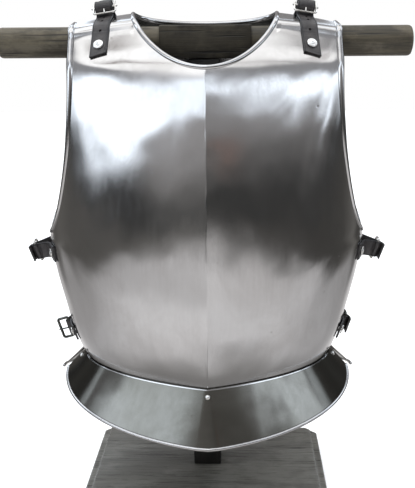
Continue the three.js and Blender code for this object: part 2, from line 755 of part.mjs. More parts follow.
// One strap with its buckle: a holed strap and a short strap that carries the buckle, each riveted
// to its plate. The left side is the mirror image of the right.
function addStrap(name, lay, route, sides) {
  const onSide = (geometry, side) => (side === 'left' ? mirrored(geometry) : geometry);
  const addEach = (piece, geometry, finish) => {
    sides.forEach((side) => addMesh(`${name}_${piece}_${side}`, onSide(geometry, side), finish));
  };
  const heel = strapPoint(lay, route.heel[0], 0, route.heel[1] - strapSeat);
  const frame = hardwareFrame(lay, heel, route.tilt);
  const tongue = tongueGeometry(route.tongueReach, 0).applyMatrix4(frame);
  const tongueRoom = tongueGeometry(route.tongueReach, seatGap).applyMatrix4(frame);
  const foldWidth = strapWidth - 2 * seatGap;
  const sleeve = ringGeometry(heelRadius + seatGap, sleeveRadius, foldWidth).applyMatrix4(frame);
  const heelRoom = rod(heelRadius + seatGap, strapWidth + 2, 8).rotateZ(quarterTurn).applyMatrix4(frame);
  const rivetRoom = (along) => {
    const point = strapPoint(lay, along, 0, 0);
    const drill = rod(rivetShank / 2 + 2 * seatGap, rivetDrill, 6).rotateX(quarterTurn);
    return standOn(drill, point, lay.normalAt(along, 0));
  };
  const holes = route.holes.map((along) => {
    const point = strapPoint(lay, along, 0, 0);
    return standOn(rod(strapHole / 2, rivetDrill, 6).rotateX(quarterTurn), point, lay.normalAt(along, 0));
  });
  const chape = joined(stripGeometry(lay, route.chape, route.chapeRows, route.columns), sleeve);
  addEach('buckle_strap', cut(chape, heelRoom, tongueRoom, rivetRoom(route.chapeRivet)), leather);
  const strap = stripGeometry(lay, route.strap, route.strapRows, route.columns);
  addEach('holed_strap', cut(strap, tongueRoom, rivetRoom(route.strapRivet), ...holes), leather);
  addEach('buckle', buckleGeometry(route.front, route.rear, route.bow).applyMatrix4(frame), nickel);
  addEach('tongue', tongue, nickel);
  [['buckle_strap', route.chapeRivet], ['holed_strap', route.strapRivet]].forEach(([end, along]) => {
    const grip = plateWall + strapThickness + strapGap + seatGap;
    const normal = lay.normalAt(along, 0);
    const point = strapPoint(lay, along, 0, 0).addScaledVector(normal, strapThickness / 2 + seatGap);
    const rivet = rivetGeometry(grip + seatGap, strapRivetHead / 2, strapRivetRise, true);
    const placed = standOn(rivet, point, normal);
    addEach(`${end}_rivet`, placed, nickel);
    const hole = rivetRoom(along);
    plateHoles[along < 0 ? 'breastplate' : 'backplate'].push(...sides.map((side) => onSide(hole, side)));
  });
}

addStrap('shoulder', shoulderLay(), {
  heel: [-1, shoulderBuckleRise],
  tilt: shoulderBuckleTilt,
  front: -11.2,
  rear: 11,
  bow: 4,
  tongueReach: -11.2,
  columns: 1,
  chape: [[54, 0], [34, 0], [19, 0], [10, 1.6], [4.5, 5.3], [0.8, 8.2]],
  chapeRows: 8,
  chapeRivet: shoulderRivetPlace,
  strap: [[-57, 0], [-40, 0], [-24, 0], [-13, 0], [-8.3, 0.1], [-5.1, 2.3], [-6.1, 6.2], [-7.9, 10.7],
    [-6, 15.5], [-0.5, 17.7], [4.4, 14.9], [7, 10.4], [12, 7.2]],
  strapRows: 20,
  strapRivet: -shoulderRivetPlace,
  holes: [-34, -23],
}, bothSides);

// A side strap that is buckled: spread moves its ends apart along the plates.
function buckledRoute(reach, spread) {
  return {
    heel: [-4, reach],
    tilt: 0,
    front: 0,
    rear: 15,
    bow: 0,
    tongueReach: 15,
    columns: 1,
    chape: [[-42 - spread, 0], [-28 - spread, 0], [-18 - spread, 0.02 * reach],
      [-12 - 0.6 * spread, 0.25 * reach], [-8.5 - 0.3 * spread, 0.6 * reach], [-6.5, reach - 3.6]],
    chapeRows: 7,
    chapeRivet: -sideRivetPlace - spread,
    strap: [[42 + spread, 0], [28 + spread, 0], [17 + spread, 0], [12.5 + 0.6 * spread, 0.17 * reach],
      [9 + 0.3 * spread, 0.45 * reach], [6.6, reach - 1.8], [5, reach + 1.8], [0.5, reach + 5],
      [-6, reach + 6], [-13, reach + 5]],
    strapRows: 11,
    strapRivet: sideRivetPlace + spread,
    holes: [],
  };
}

// A side strap that is close to the plates.
function closeRoute(reach) {
  return {
    ...buckledRoute(reach, 0),
    chape: [[-42, 0.4], [-28, 0.4], [-16, 0.4], [-6, 0.6]],
    strap: [[42, 0.5], [28, 0.5], [18, 0.4], [13, 0.2], [9.6, 0.7], [6.8, 3.2], [5, 7], [0.8, 10.4],
      [-6, 11.3], [-13, 10.6]],
  };
}

// A side strap that is undone: its buckle stands out from the plates and faces forward.
function openRoute(reach) {
  return {
    ...closeRoute(reach),
    heel: [-12, reach],
    tilt: 80,
    chape: [[-42, 0.4], [-28, 0.4], [-20, 0.4], [-13.5, 0.4]],
    strap: [[42, 0.5], [28, 0.5], [14, 0.4], [5, 1.2], [-2, 5]],
    strapRows: 6,
  };
}

addStrap('upper_side', sideLay(upperStrapHeight, upperStrapDroop, upperStrapReach - sleeveRadius),
  buckledRoute(upperStrapReach, upperStrapSpread), bothSides);
const lowerLay = sideLay(lowerStrapHeight, 0, lowerStrapReach);
addStrap('lower_side', lowerLay, closeRoute(lowerStrapReach), ['right']);
addStrap('lower_side', lowerLay, openRoute(lowerStrapReach), ['left']);

// Rivets that hold each skirt to the flange behind it
function addSkirtRivets(half, prefix) {
  const sideAngle = quarterTurn * skirtRivetTurn;
  const places = [['centre', 0, false], ['right', sideAngle, false], ['left', sideAngle, true]];
  places.forEach(([place, angle, flip]) => {
    const point = flarePoint(half, angle, skirtRivetReach, skirtGap + plateWall);
    const ground = flarePoint(half, angle, skirtRivetReach, 0);
    const normal = point.clone().sub(ground).normalize();
    const grip = 2 * plateWall + skirtGap + seatGap;
    const turn = (geometry) => {
      const placed = standOn(geometry, point, normal);
      return flip ? mirrored(placed) : placed;
    };
    const rivet = rivetGeometry(grip, skirtRivetHead / 2, skirtRivetRise, false);
    addMesh(`${prefix}_skirt_rivet_${place}`, turn(rivet), nickel);
    const room = () => turn(rod(rivetShank / 2 + 2 * seatGap, rivetDrill, 6).rotateX(quarterTurn));
    plateHoles[half === breast ? 'breastplate' : 'backplate'].push(room());
    skirtHoles[half === breast ? 'front_skirt' : 'back_skirt'].push(room());
  });
}

addSkirtRivets(breast, 'front');
addSkirtRivets(back, 'back');

addMesh('breastplate', cut(plateGeometry(breast), ...plateHoles.breastplate), steel);
addMesh('backplate', cut(plateGeometry(back), ...plateHoles.backplate), steel);
addMesh('front_skirt', cut(skirtGeometry(breast), ...skirtHoles.front_skirt), darkSteel);
addMesh('back_skirt', cut(skirtGeometry(back), ...skirtHoles.back_skirt), darkSteel);
addStand();

export default cuirass;
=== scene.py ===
"""Steel cuirass on a wooden stand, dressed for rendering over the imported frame."""

import math

import bmesh
import bpy
from mathutils import Matrix, Vector, noise


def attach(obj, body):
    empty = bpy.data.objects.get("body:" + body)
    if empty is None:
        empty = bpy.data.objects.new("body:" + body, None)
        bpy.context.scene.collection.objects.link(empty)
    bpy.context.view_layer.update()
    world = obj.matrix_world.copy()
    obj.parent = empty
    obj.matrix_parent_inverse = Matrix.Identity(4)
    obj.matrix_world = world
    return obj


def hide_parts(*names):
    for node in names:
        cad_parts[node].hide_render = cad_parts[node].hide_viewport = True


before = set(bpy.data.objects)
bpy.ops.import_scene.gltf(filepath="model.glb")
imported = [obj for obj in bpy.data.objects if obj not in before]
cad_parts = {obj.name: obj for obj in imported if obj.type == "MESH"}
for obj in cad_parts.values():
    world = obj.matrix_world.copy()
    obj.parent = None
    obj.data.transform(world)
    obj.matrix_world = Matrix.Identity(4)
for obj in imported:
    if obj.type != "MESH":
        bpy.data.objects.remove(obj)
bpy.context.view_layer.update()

# Sizes in millimetres, as in the part's own source. A finished piece is scaled to metres.
MM = 0.001
QUARTER = math.pi / 2

PLATE_WALL = 1.6
PLATE_SEAM = 8.0
SEAT_GAP = 0.3
STRAP_GAP = 0.6
SKIRT_GAP = 0.9
WAIST_HEIGHT = 193.0
TORSO_HEIGHT = 450.0
CHEST_HALF_WIDTH = 207.0
BREAST_DEPTH = 166.0
BACK_DEPTH = 124.0
RIDGE_HEIGHT = 24.0
SHOULDER_DROP = 17.0
SHOULDER_HALF_WIDTH = 164.0
NECK_HALF_WIDTH = 90.0
BREAST_NECK_HEIGHT = 381.0
BACK_NECK_HEIGHT = 433.0
ARMPIT_HEIGHT = 166.0
ROLL_RADIUS = 2.8

SKIRT_FRONT_LENGTH = 73.0
SKIRT_SIDE_LENGTH = 42.0
BACK_SKIRT_SIDE_LENGTH = 49.0
SKIRT_FRONT_FLARE = 29.0
SKIRT_SIDE_FLARE = 42.0
BACK_SKIRT_SIDE_FLARE = 48.0
FLANGE_WIDTH = 15.0
RIM_RADIUS = 2.3

STRAP_WIDTH = 21.0
STRAP_THICKNESS = 2.4
STRAP_HOLE = 3.6
BUCKLE_WIRE = 3.0
TONGUE_WIRE = 2.2
BUCKLE_SLACK = 1.5
INNER_HEAD_GAP = 1.3
WASHER_RADIUS = 6.25
WASHER_THICKNESS = 1.4
SHANK_RADIUS = 2.0
SKIRT_RIVET_RADIUS = 3.0
SKIRT_RIVET_REACH = 9.0
SLANT_LENGTH = 8.0
SLANT_TRIM = 1.2
SHOULDER_STRAP_OFFSET = 124.0
SHOULDER_STRAP_LEAN = 0.1
SHOULDER_BUCKLE_RISE = 12.3
SHOULDER_BUCKLE_TILT = 38.0
SHOULDER_RIVET_PLACE = 46.0
SIDE_RIVET_PLACE = 33.0
UPPER_STRAP_HEIGHT = 146.0
UPPER_STRAP_DROOP = 0.2
UPPER_STRAP_REACH = 23.0
UPPER_STRAP_SPREAD = 8.0
LOWER_STRAP_HEIGHT = 36.0
LOWER_STRAP_REACH = 5.5

CROSSBAR_LENGTH = 521.0
CROSSBAR_RADIUS = 19.0
HUB_LENGTH = 115.0
HUB_SIDE = 41.0
POST_SIDE = 38.0
BASE_WIDTH = 330.0
BASE_DEPTH = 217.0
BASE_THICKNESS = 20.0
BASE_STEP = 8.0
BASE_INSET = 11.0
BASE_CORNER = 13.0
STAND_TWIST = math.radians(-2.4)

HEEL_RADIUS = BUCKLE_WIRE / math.sqrt(2)
STRAP_SEAT = STRAP_GAP + STRAP_THICKNESS / 2
BUCKLE_HALF = STRAP_WIDTH / 2 + BUCKLE_SLACK + BUCKLE_WIRE / 2

# How finely the plates are divided, for one half from the ridge to the side
NECK_COLUMNS = 30
OUTER_COLUMNS = 18
PLATE_COLUMNS = NECK_COLUMNS + OUTER_COLUMNS
FLANGE_ROWS = 3
SIDE_ROWS = 24
ARM_ROWS = 48
PLATE_ROWS = SIDE_ROWS + ARM_ROWS
NECK_PART = 5 / 8
SIDE_PART = 1 / 3

# Cross-sections of the torso from the waist up, as shares of the sizes above
SECTION_KEYS = ("up", "wide", "deep", "keel", "square", "drop")
BREAST_SECTIONS = (
    (0.0, 0.8, 0.89, 1.0, 1.0, 0.0),
    (0.035, 0.838, 0.92, 1.0, 1.0, 0.0),
    (0.09, 0.882, 0.95, 0.9, 1.0, 0.0),
    (0.165, 0.918, 0.98, 0.8, 1.0, 0.0),
    (0.27, 0.97, 1.0, 0.7, 1.0, 0.0),
    (0.37, 1.0, 0.985, 0.7, 1.0, 0.0),
    (0.5, 0.98, 0.935, 0.75, 1.0, 0.0),
    (0.62, 0.955, 0.855, 0.8, 0.95, 0.0),
    (0.73, 0.94, 0.75, 0.8, 0.88, 0.05),
    (0.847, 0.915, 0.58, 0.7, 0.75, 0.25),
    (0.9, 0.9, 0.42, 0.5, 0.65, 0.5),
    (0.95, 0.875, 0.262, 0.2, 0.53, 0.8),
    (0.978, 0.86, 0.19, 0.1, 0.5, 0.92),
    (1.0, 0.845, 0.0, 0.0, 0.5, 1.0),
)
BACK_SECTIONS = (
    (0.0, 0.8, 0.74, 0.0, 0.7, 0.0),
    (0.035, 0.838, 0.73, 0.0, 0.71, 0.0),
    (0.09, 0.882, 0.74, 0.0, 0.76, 0.0),
    (0.165, 0.918, 0.77, 0.0, 0.85, 0.0),
    (0.27, 0.97, 0.83, 0.0, 0.95, 0.0),
    (0.37, 1.0, 0.89, 0.0, 1.0, 0.0),
    (0.5, 0.98, 0.96, 0.0, 1.0, 0.0),
    (0.62, 0.955, 1.0, 0.0, 0.95, 0.0),
    (0.73, 0.94, 0.99, 0.0, 0.88, 0.05),
    (0.847, 0.915, 0.88, 0.0, 0.75, 0.25),
    (0.91, 0.9, 0.74, 0.0, 0.65, 0.5),
    (0.962, 0.875, 0.53, 0.0, 0.55, 0.8),
    (0.985, 0.86, 0.32, 0.0, 0.5, 0.93),
    (1.0, 0.845, 0.0, 0.0, 0.5, 1.0),
)
ARMHOLE_KEYS = ("up", "around")
BREAST_ARMHOLE = (
    (0.0, 1.0),
    (0.025, 0.86),
    (0.08, 0.765),
    (0.2, 0.705),
    (0.36, 0.67),
    (0.55, 0.652),
    (0.72, 0.66),
    (0.85, 0.687),
    (0.94, 0.73),
    (1.0, 0.772),
)
BACK_ARMHOLE = (
    (0.0, 1.0),
    (0.08, 0.88),
    (0.2, 0.81),
    (0.35, 0.76),
    (0.5, 0.73),
    (0.65, 0.715),
    (0.8, 0.715),
    (0.91, 0.735),
    (1.0, 0.77),
)


class Half:
    """Breastplate or backplate: which way it faces, and the sizes that shape it."""

    def __init__(self, facing, depth, sections, armhole, neck_height, neck_round, side_flare,
                 side_length):
        self.facing = facing
        self.depth = depth
        self.sections = [dict(zip(SECTION_KEYS, row)) for row in sections]
        self.armhole = [dict(zip(ARMHOLE_KEYS, row)) for row in armhole]
        self.neck_share = neck_height / TORSO_HEIGHT
        self.neck_round = neck_round
        self.side_flare = math.radians(side_flare)
        self.side_length = side_length


BREAST = Half(-1, BREAST_DEPTH, BREAST_SECTIONS, BREAST_ARMHOLE, BREAST_NECK_HEIGHT, 1.4,
              SKIRT_SIDE_FLARE, SKIRT_SIDE_LENGTH)
BACK = Half(1, BACK_DEPTH, BACK_SECTIONS, BACK_ARMHOLE, BACK_NECK_HEIGHT, 1.2,
            BACK_SKIRT_SIDE_FLARE, BACK_SKIRT_SIDE_LENGTH)


# Shape of the torso


def mix(low, high, share):
    return low + (high - low) * share


def read_table(rows, key, share):
    """A smooth curve through a table's rows, read at a share of its first column."""
    row = 0
    while row < len(rows) - 2 and share > rows[row + 1]["up"]:
        row += 1

    def slope(place):
        before = rows[max(place - 1, 0)]
        after = rows[min(place + 1, len(rows) - 1)]
        return (after[key] - before[key]) / (after["up"] - before["up"])

    span = rows[row + 1]["up"] - rows[row]["up"]
    part = (share - rows[row]["up"]) / span
    squared = part * part
    cubed = squared * part
    return ((2 * cubed - 3 * squared + 1) * rows[row][key]
            + (cubed - 2 * squared + part) * span * slope(row)
            + (3 * squared - 2 * cubed) * rows[row + 1][key]
            + (cubed - squared) * span * slope(row + 1))


def torso_point(half, angle, up):
    """Outer face of a plate, from its ridge (angle 0) to the side seam (a quarter turn)."""
    width = CHEST_HALF_WIDTH * read_table(half.sections, "wide", up)
    reach = (half.depth - PLATE_SEAM / 2) * read_table(half.sections, "deep", up)
    keel = RIDGE_HEIGHT * read_table(half.sections, "keel", up)
    fall = SHOULDER_DROP * read_table(half.sections, "drop", up)
    square = read_table(half.sections, "square", up)
    across = math.sin(angle)
    ahead = (reach - keel) * max(math.cos(angle), 0.0) ** square + keel * (1 - abs(across)) ** 2
    x = width * across
    z = WAIST_HEIGHT + TORSO_HEIGHT * up - fall * (x / SHOULDER_HALF_WIDTH) ** 2
    return Vector((x, half.facing * (PLATE_SEAM / 2 + ahead), z))


def torso_normal(half, angle, up):
    step = 0.002
    before = max(up - step, 0.0)
    after = min(up + step, 1.0)
    sideways = torso_point(half, angle + step, up) - torso_point(half, angle - step, up)
    upwards = torso_point(half, angle, after) - torso_point(half, angle, before)
    return (sideways.cross(upwards) * -half.facing).normalized()


def neck_edge(half, share):
    turn = share * QUARTER
    up = mix(half.neck_share, 1.0, 1 - math.cos(turn) ** half.neck_round)
    width = CHEST_HALF_WIDTH * read_table(half.sections, "wide", up)
    return Vector((math.asin(NECK_HALF_WIDTH * math.sin(turn) / width), up))


def side_edge(half, share):
    armpit_up = ARMPIT_HEIGHT / TORSO_HEIGHT
    if share <= SIDE_PART:
        return Vector((QUARTER, armpit_up * share / SIDE_PART))
    rise = (share - SIDE_PART) / (1 - SIDE_PART)
    return Vector((QUARTER * read_table(half.armhole, "around", rise), mix(armpit_up, 1.0, rise)))


def top_edge(half, share):
    if share <= NECK_PART:
        return neck_edge(half, share / NECK_PART)
    return neck_edge(half, 1.0).lerp(side_edge(half, 1.0), (share - NECK_PART) / (1 - NECK_PART))


def plate_place(half, along, up):
    """Angle and height share between a plate's four edges, along and up both from 0 to 1."""
    across = Vector((QUARTER, 0.0))
    corners = (across * along * (1 - up) + top_edge(half, 0.0) * (1 - along) * up
               + top_edge(half, 1.0) * along * up)
    return (across * along * (1 - up) + top_edge(half, along) * up
            + Vector((0.0, half.neck_share * up)) * (1 - along)
            + side_edge(half, up) * along - corners)


def column_share(column):
    """Columns crowd towards the ridge, so that it keeps its sharp line."""
    if column <= NECK_COLUMNS:
        return NECK_PART * (column / NECK_COLUMNS) ** 1.5
    return mix(NECK_PART, 1.0, (column - NECK_COLUMNS) / OUTER_COLUMNS)


def row_share(row):
    if row <= SIDE_ROWS:
        return SIDE_PART * row / SIDE_ROWS
    rise = (row - SIDE_ROWS) / ARM_ROWS
    return mix(1.0, SIDE_PART, (1 - rise) ** 1.5)


def waist_outward(half, angle):
    step = 0.01
    along = torso_point(half, angle + step, 0.0) - torso_point(half, angle - step, 0.0)
    return Vector((-half.facing * along.y, half.facing * along.x, 0.0)).normalized()


def flare_point(half, angle, reach, lift):
    """A point of the flared surface, reach along it from the waist and lift off it."""
    flare = mix(math.radians(SKIRT_FRONT_FLARE), half.side_flare, (angle / QUARTER) ** 4)
    outward = waist_outward(half, angle)
    slope = outward * math.sin(flare) - Vector((0.0, 0.0, math.cos(flare)))
    normal = outward * math.cos(flare) + Vector((0.0, 0.0, math.sin(flare)))
    return torso_point(half, angle, 0.0) + slope * reach + normal * lift


def skirt_length(half, angle):
    return mix(half.side_length, SKIRT_FRONT_LENGTH, math.cos(angle))


def hammering(point, depth, spread):
    """The slight waves that planishing leaves in a hand-worked plate."""
    return depth * noise.noise(point / spread) + depth * 0.4 * noise.noise(point / (spread * 0.4))


def mirrored(point):
    return Vector((-point.x, point.y, point.z))


def mid_wall(half, place):
    normal = torso_normal(half, place.x, place.y)
    return torso_point(half, place.x, place.y) - normal * (PLATE_WALL / 2)


# Building blocks


def add_wall(mesh, columns, rows, place):
    """A closed wall: an outer and an inner grid, placed by a function and bridged all round."""
    rims = []
    faces = []
    for side in (0, 1):
        made = bmesh.ops.create_grid(mesh, x_segments=columns, y_segments=rows, size=1.0)
        verts = made["verts"]
        for vert in verts:
            column = round((vert.co.x + 1) / 2 * columns)
            row = round((vert.co.y + 1) / 2 * rows)
            vert.co = place(column, row, side)
        sheet = {face for vert in verts for face in vert.link_faces}
        faces += sheet
        rims += [edge for face in sheet for edge in face.edges if len(edge.link_faces) == 1]
    bridged = bmesh.ops.bridge_loops(mesh, edges=list(set(rims)))
    bmesh.ops.recalc_face_normals(mesh, faces=list(set(faces) | set(bridged["faces"])))


def path_frames(path, closed):
    """A frame for each point of a path, turned as little as possible from one to the next."""
    count = len(path)
    tangents = []
    for place in range(count):
        before = path[place - 1] if closed or place > 0 else path[0]
        after = path[(place + 1) % count] if closed or place < count - 1 else path[-1]
        tangents.append((after - before).normalized())
    normal = tangents[0].orthogonal()
    normal = (normal - tangents[0] * normal.dot(tangents[0])).normalized()
    frames = []
    for place in range(count):
        if place > 0:
            turn = tangents[place - 1].rotation_difference(tangents[place])
            normal = turn @ normal
            normal = (normal - tangents[place] * normal.dot(tangents[place])).normalized()
        side = tangents[place].cross(normal)
        basis = Matrix((normal, side, tangents[place])).transposed().to_4x4()
        frames.append(Matrix.Translation(path[place]) @ basis)
    return frames


def add_sweep(mesh, ring, stations, closed=False):
    """Extrudes a ring of vertices from station to station, each a matrix, and closes its ends."""
    verts = list(ring)
    members = set(verts)
    edges = list({edge for vert in verts for edge in vert.link_edges if set(edge.verts) <= members})
    first = edges
    bmesh.ops.transform(mesh, matrix=stations[0], verts=verts)
    faces = []
    for before, after in zip(stations, stations[1:]):
        made = bmesh.ops.extrude_edge_only(mesh, edges=edges)["geom"]
        verts = [item for item in made if isinstance(item, bmesh.types.BMVert)]
        members = set(verts)
        edges = [item for item in made
                 if isinstance(item, bmesh.types.BMEdge) and set(item.verts) <= members]
        faces += [item for item in made if isinstance(item, bmesh.types.BMFace)]
        bmesh.ops.transform(mesh, matrix=after @ before.inverted(), verts=verts)
    if closed:
        faces += bmesh.ops.bridge_loops(mesh, edges=first + edges)["faces"]
    else:
        for rim in (first, edges):
            faces += bmesh.ops.edgeloop_fill(mesh, edges=rim)["faces"]
    bmesh.ops.recalc_face_normals(mesh, faces=faces)
    return faces


def add_bar(mesh, path, radius, sides=12, closed=False):
    """A round bar along a path, with domed ends. radius may be a function of the share along it."""
    radius_at = radius if callable(radius) else lambda share: radius
    frames = path_frames(path, closed)
    stations = []
    last = len(frames) - 1
    for place, matrix in enumerate(frames):
        stations.append(matrix @ Matrix.Diagonal((radius_at(place / last),) * 2 + (1.0, 1.0)))
    if not closed:
        for end, way, matrix in ((0, -1, frames[0]), (1, 1, frames[-1])):
            cap_radius = radius_at(end)
            caps = []
            for degrees in (30, 58, 80):
                turn = math.radians(degrees)
                out = Matrix.Translation((0.0, 0.0, way * cap_radius * math.sin(turn)))
                caps.append(matrix @ out @ Matrix.Diagonal((cap_radius * math.cos(turn),) * 2 + (1.0, 1.0)))
            stations = caps[::-1] + stations if way < 0 else stations + caps
    ring = bmesh.ops.create_circle(mesh, segments=sides, radius=1.0)["verts"]
    return add_sweep(mesh, ring, stations, closed)


def add_turned(mesh, profile, matrix, steps):
    """Turns a profile of (radius, height) round the z axis and sets it down by a matrix."""
    verts = [mesh.verts.new((radius, 0.0, height)) for radius, height in profile]
    edges = [mesh.edges.new(pair) for pair in zip(verts, verts[1:])]
    bmesh.ops.spin(mesh, geom=verts + edges, cent=(0, 0, 0), axis=(0, 0, 1), angle=2 * math.pi,
                   steps=steps, use_merge=True)
    linked = set(verts)
    frontier = list(verts)
    while frontier:
        vert = frontier.pop()
        for edge in vert.link_edges:
            other = edge.other_vert(vert)
            if other not in linked:
                linked.add(other)
                frontier.append(other)
    bmesh.ops.remove_doubles(mesh, verts=list(linked), dist=1e-4)
    whole = [vert for vert in linked if vert.is_valid]
    faces = list({face for vert in whole for face in vert.link_faces})
    bmesh.ops.recalc_face_normals(mesh, faces=faces)
    bmesh.ops.transform(mesh, matrix=matrix, verts=whole)
    return whole


def smooth_route(stations, count):
    """Centripetal curve through stations, read at evenly numbered places."""
    points = [Vector(station) for station in stations]

    def read(share):
        place = share * (len(points) - 1)
        index = min(int(place), len(points) - 2)
        weight = place - index
        inner = points[index], points[index + 1]
        before = points[index - 1] if index > 0 else inner[0] * 2 - inner[1]
        after = points[index + 2] if index < len(points) - 2 else inner[1] * 2 - inner[0]
        spans = [max((b - a).length ** 0.5, 1e-4)
                 for a, b in ((before, inner[0]), inner, (inner[1], after))]
        start = ((inner[0] - before) / spans[0] - (inner[1] - before) / (spans[0] + spans[1])
                 + (inner[1] - inner[0]) / spans[1]) * spans[1]
        end = ((inner[1] - inner[0]) / spans[1] - (after - inner[0]) / (spans[1] + spans[2])
               + (after - inner[1]) / spans[2]) * spans[1]
        squared = weight * weight
        cubed = squared * weight
        return (inner[0] * (2 * cubed - 3 * squared + 1) + start * (cubed - 2 * squared + weight)
                + inner[1] * (3 * squared - 2 * cubed) + end * (cubed - squared))

    return [read(place / count) for place in range(count + 1)]


def finish_piece(mesh, name, nodes, material, crease=35.0):
    """Turns a bmesh in millimetres into a piece that stands for the nodes it replaces."""
    bmesh.ops.scale(mesh, vec=(MM, MM, MM), verts=mesh.verts[:])
    data = bpy.data.meshes.new(name)
    mesh.to_mesh(data)
    mesh.free()
    data.shade_smooth()
    data.set_sharp_from_angle(angle=math.radians(crease))
    piece = bpy.data.objects.new(name, data)
    bpy.context.scene.collection.objects.link(piece)
    data.materials.append(material)
    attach(piece, "root")
    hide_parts(*nodes)
    return piece


def flip_to_left(mesh):
    bmesh.ops.scale(mesh, vec=(-1.0, 1.0, 1.0), verts=mesh.verts[:])
    bmesh.ops.reverse_faces(mesh, faces=mesh.faces[:])


# Materials


def link(tree, source, target):
    tree.links.new(source, target)


def new_node(tree, kind, **settings):
    node = tree.nodes.new(kind)
    for key, value in settings.items():
        setattr(node, key, value)
    return node


def set_inputs(node, **values):
    for key, value in values.items():
        node.inputs[key.replace("_", " ")].default_value = value
    return node


def new_group(name, inputs, outputs):
    tree = bpy.data.node_groups.new(name, "ShaderNodeTree")
    for label, kind, value in inputs:
        socket = tree.interface.new_socket(label, in_out="INPUT", socket_type=kind)
        if value is not None:
            socket.default_value = value
    for label, kind in outputs:
        tree.interface.new_socket(label, in_out="OUTPUT", socket_type=kind)
    return tree, tree.nodes.new("NodeGroupInput"), tree.nodes.new("NodeGroupOutput")


def add_noise(tree, vector, scale, detail=4.0, roughness=0.55):
    node = new_node(tree, "ShaderNodeTexNoise")
    set_inputs(node, Scale=scale, Detail=detail, Roughness=roughness)
    link(tree, vector, node.inputs["Vector"])
    return node.outputs["Fac"]


def stretch(tree, vector, scale):
    node = new_node(tree, "ShaderNodeMapping")
    node.inputs["Scale"].default_value = scale
    link(tree, vector, node.inputs["Vector"])
    return node.outputs["Vector"]


def remap(tree, value, low, high, to_low=0.0, to_high=1.0):
    node = new_node(tree, "ShaderNodeMapRange", interpolation_type="SMOOTHSTEP")
    set_inputs(node, From_Min=low, From_Max=high, To_Min=to_low, To_Max=to_high)
    link(tree, value, node.inputs["Value"])
    return node.outputs["Result"]


def maths(tree, operation, first, second=None):
    node = new_node(tree, "ShaderNodeMath", operation=operation)
    for socket, value in zip(node.inputs, (first, second)):
        if value is None:
            continue
        if isinstance(value, (int, float)):
            socket.default_value = value
        else:
            link(tree, value, socket)
    return node.outputs["Value"]


def blend_colour(tree, share, low, high, blend="MIX"):
    node = new_node(tree, "ShaderNodeMix", data_type="RGBA", blend_type=blend)
    for socket, value in ((node.inputs[0], share), (node.inputs[6], low), (node.inputs[7], high)):
        if isinstance(value, (int, float)):
            socket.default_value = value
        elif isinstance(value, tuple):
            socket.default_value = value + (1.0,)
        else:
            link(tree, value, socket)
    return node.outputs[2]


def make_brushed_grain():
    """Fine scratches along one axis, as height and as streaks of tone."""
    tree, start, end = new_group(
        "brushed_grain",
        [("Vector", "NodeSocketVector", None), ("Fineness", "NodeSocketFloat", 1.0)],
        [("Height", "NodeSocketFloat"), ("Streaks", "NodeSocketFloat")])
    scaled = new_node(tree, "ShaderNodeVectorMath", operation="SCALE")
    link(tree, start.outputs["Vector"], scaled.inputs[0])
    link(tree, start.outputs["Fineness"], scaled.inputs["Scale"])
    fine = add_noise(tree, stretch(tree, scaled.outputs[0], (1100.0, 1100.0, 60.0)), 1.0, 2.0)
    broad = add_noise(tree, stretch(tree, scaled.outputs[0], (170.0, 170.0, 7.0)), 1.0, 4.0)
    link(tree, fine, end.inputs["Height"])
    both = maths(tree, "ADD", maths(tree, "MULTIPLY", fine, 0.45), maths(tree, "MULTIPLY", broad, 0.55))
    link(tree, both, end.inputs["Streaks"])
    return tree


def make_stains():
    """Soft cloudy patches and small dark pits."""
    tree, start, end = new_group(
        "stains",
        [("Vector", "NodeSocketVector", None), ("Spread", "NodeSocketFloat", 9.0)],
        [("Clouds", "NodeSocketFloat"), ("Pits", "NodeSocketFloat")])
    clouds = new_node(tree, "ShaderNodeTexNoise")
    set_inputs(clouds, Detail=5.0, Roughness=0.6, Distortion=0.4)
    link(tree, start.outputs["Vector"], clouds.inputs["Vector"])
    link(tree, start.outputs["Spread"], clouds.inputs["Scale"])
    link(tree, remap(tree, clouds.outputs["Fac"], 0.36, 0.66), end.inputs["Clouds"])
    cells = new_node(tree, "ShaderNodeTexVoronoi")
    set_inputs(cells, Scale=48.0, Randomness=1.0)
    link(tree, start.outputs["Vector"], cells.inputs["Vector"])
    rare = remap(tree, add_noise(tree, start.outputs["Vector"], 31.0, 2.0), 0.58, 0.68)
    dots = remap(tree, cells.outputs["Distance"], 0.05, 0.13, 1.0, 0.0)
    link(tree, maths(tree, "MULTIPLY", dots, rare), end.inputs["Pits"])
    return tree


def make_wood_grain():
    """Weathered fibres along the x axis of the vector given."""
    tree, start, end = new_group(
        "wood_grain",
        [("Vector", "NodeSocketVector", None)],
        [("Fibres", "NodeSocketFloat"), ("Bands", "NodeSocketFloat"), ("Cracks", "NodeSocketFloat")])
    vector = start.outputs["Vector"]
    fibres = add_noise(tree, stretch(tree, vector, (22.0, 620.0, 620.0)), 1.0, 4.0, 0.6)
    bands = add_noise(tree, stretch(tree, vector, (4.0, 62.0, 62.0)), 1.0, 3.0, 0.5)
    cracks = add_noise(tree, stretch(tree, vector, (9.0, 260.0, 260.0)), 1.0, 2.0, 0.5)
    link(tree, fibres, end.inputs["Fibres"])
    link(tree, bands, end.inputs["Bands"])
    link(tree, remap(tree, cracks, 0.62, 0.7), end.inputs["Cracks"])
    return tree


BRUSHED_GRAIN = make_brushed_grain()
STAINS = make_stains()
WOOD_GRAIN = make_wood_grain()


def new_material(name):
    material = bpy.data.materials.new(name)
    material.use_nodes = True
    tree = material.node_tree
    return material, tree, tree.nodes["Principled BSDF"]


def place_group(tree, group, vector, **values):
    node = new_node(tree, "ShaderNodeGroup", node_tree=group)
    set_inputs(node, **values)
    link(tree, vector, node.inputs["Vector"])
    return node


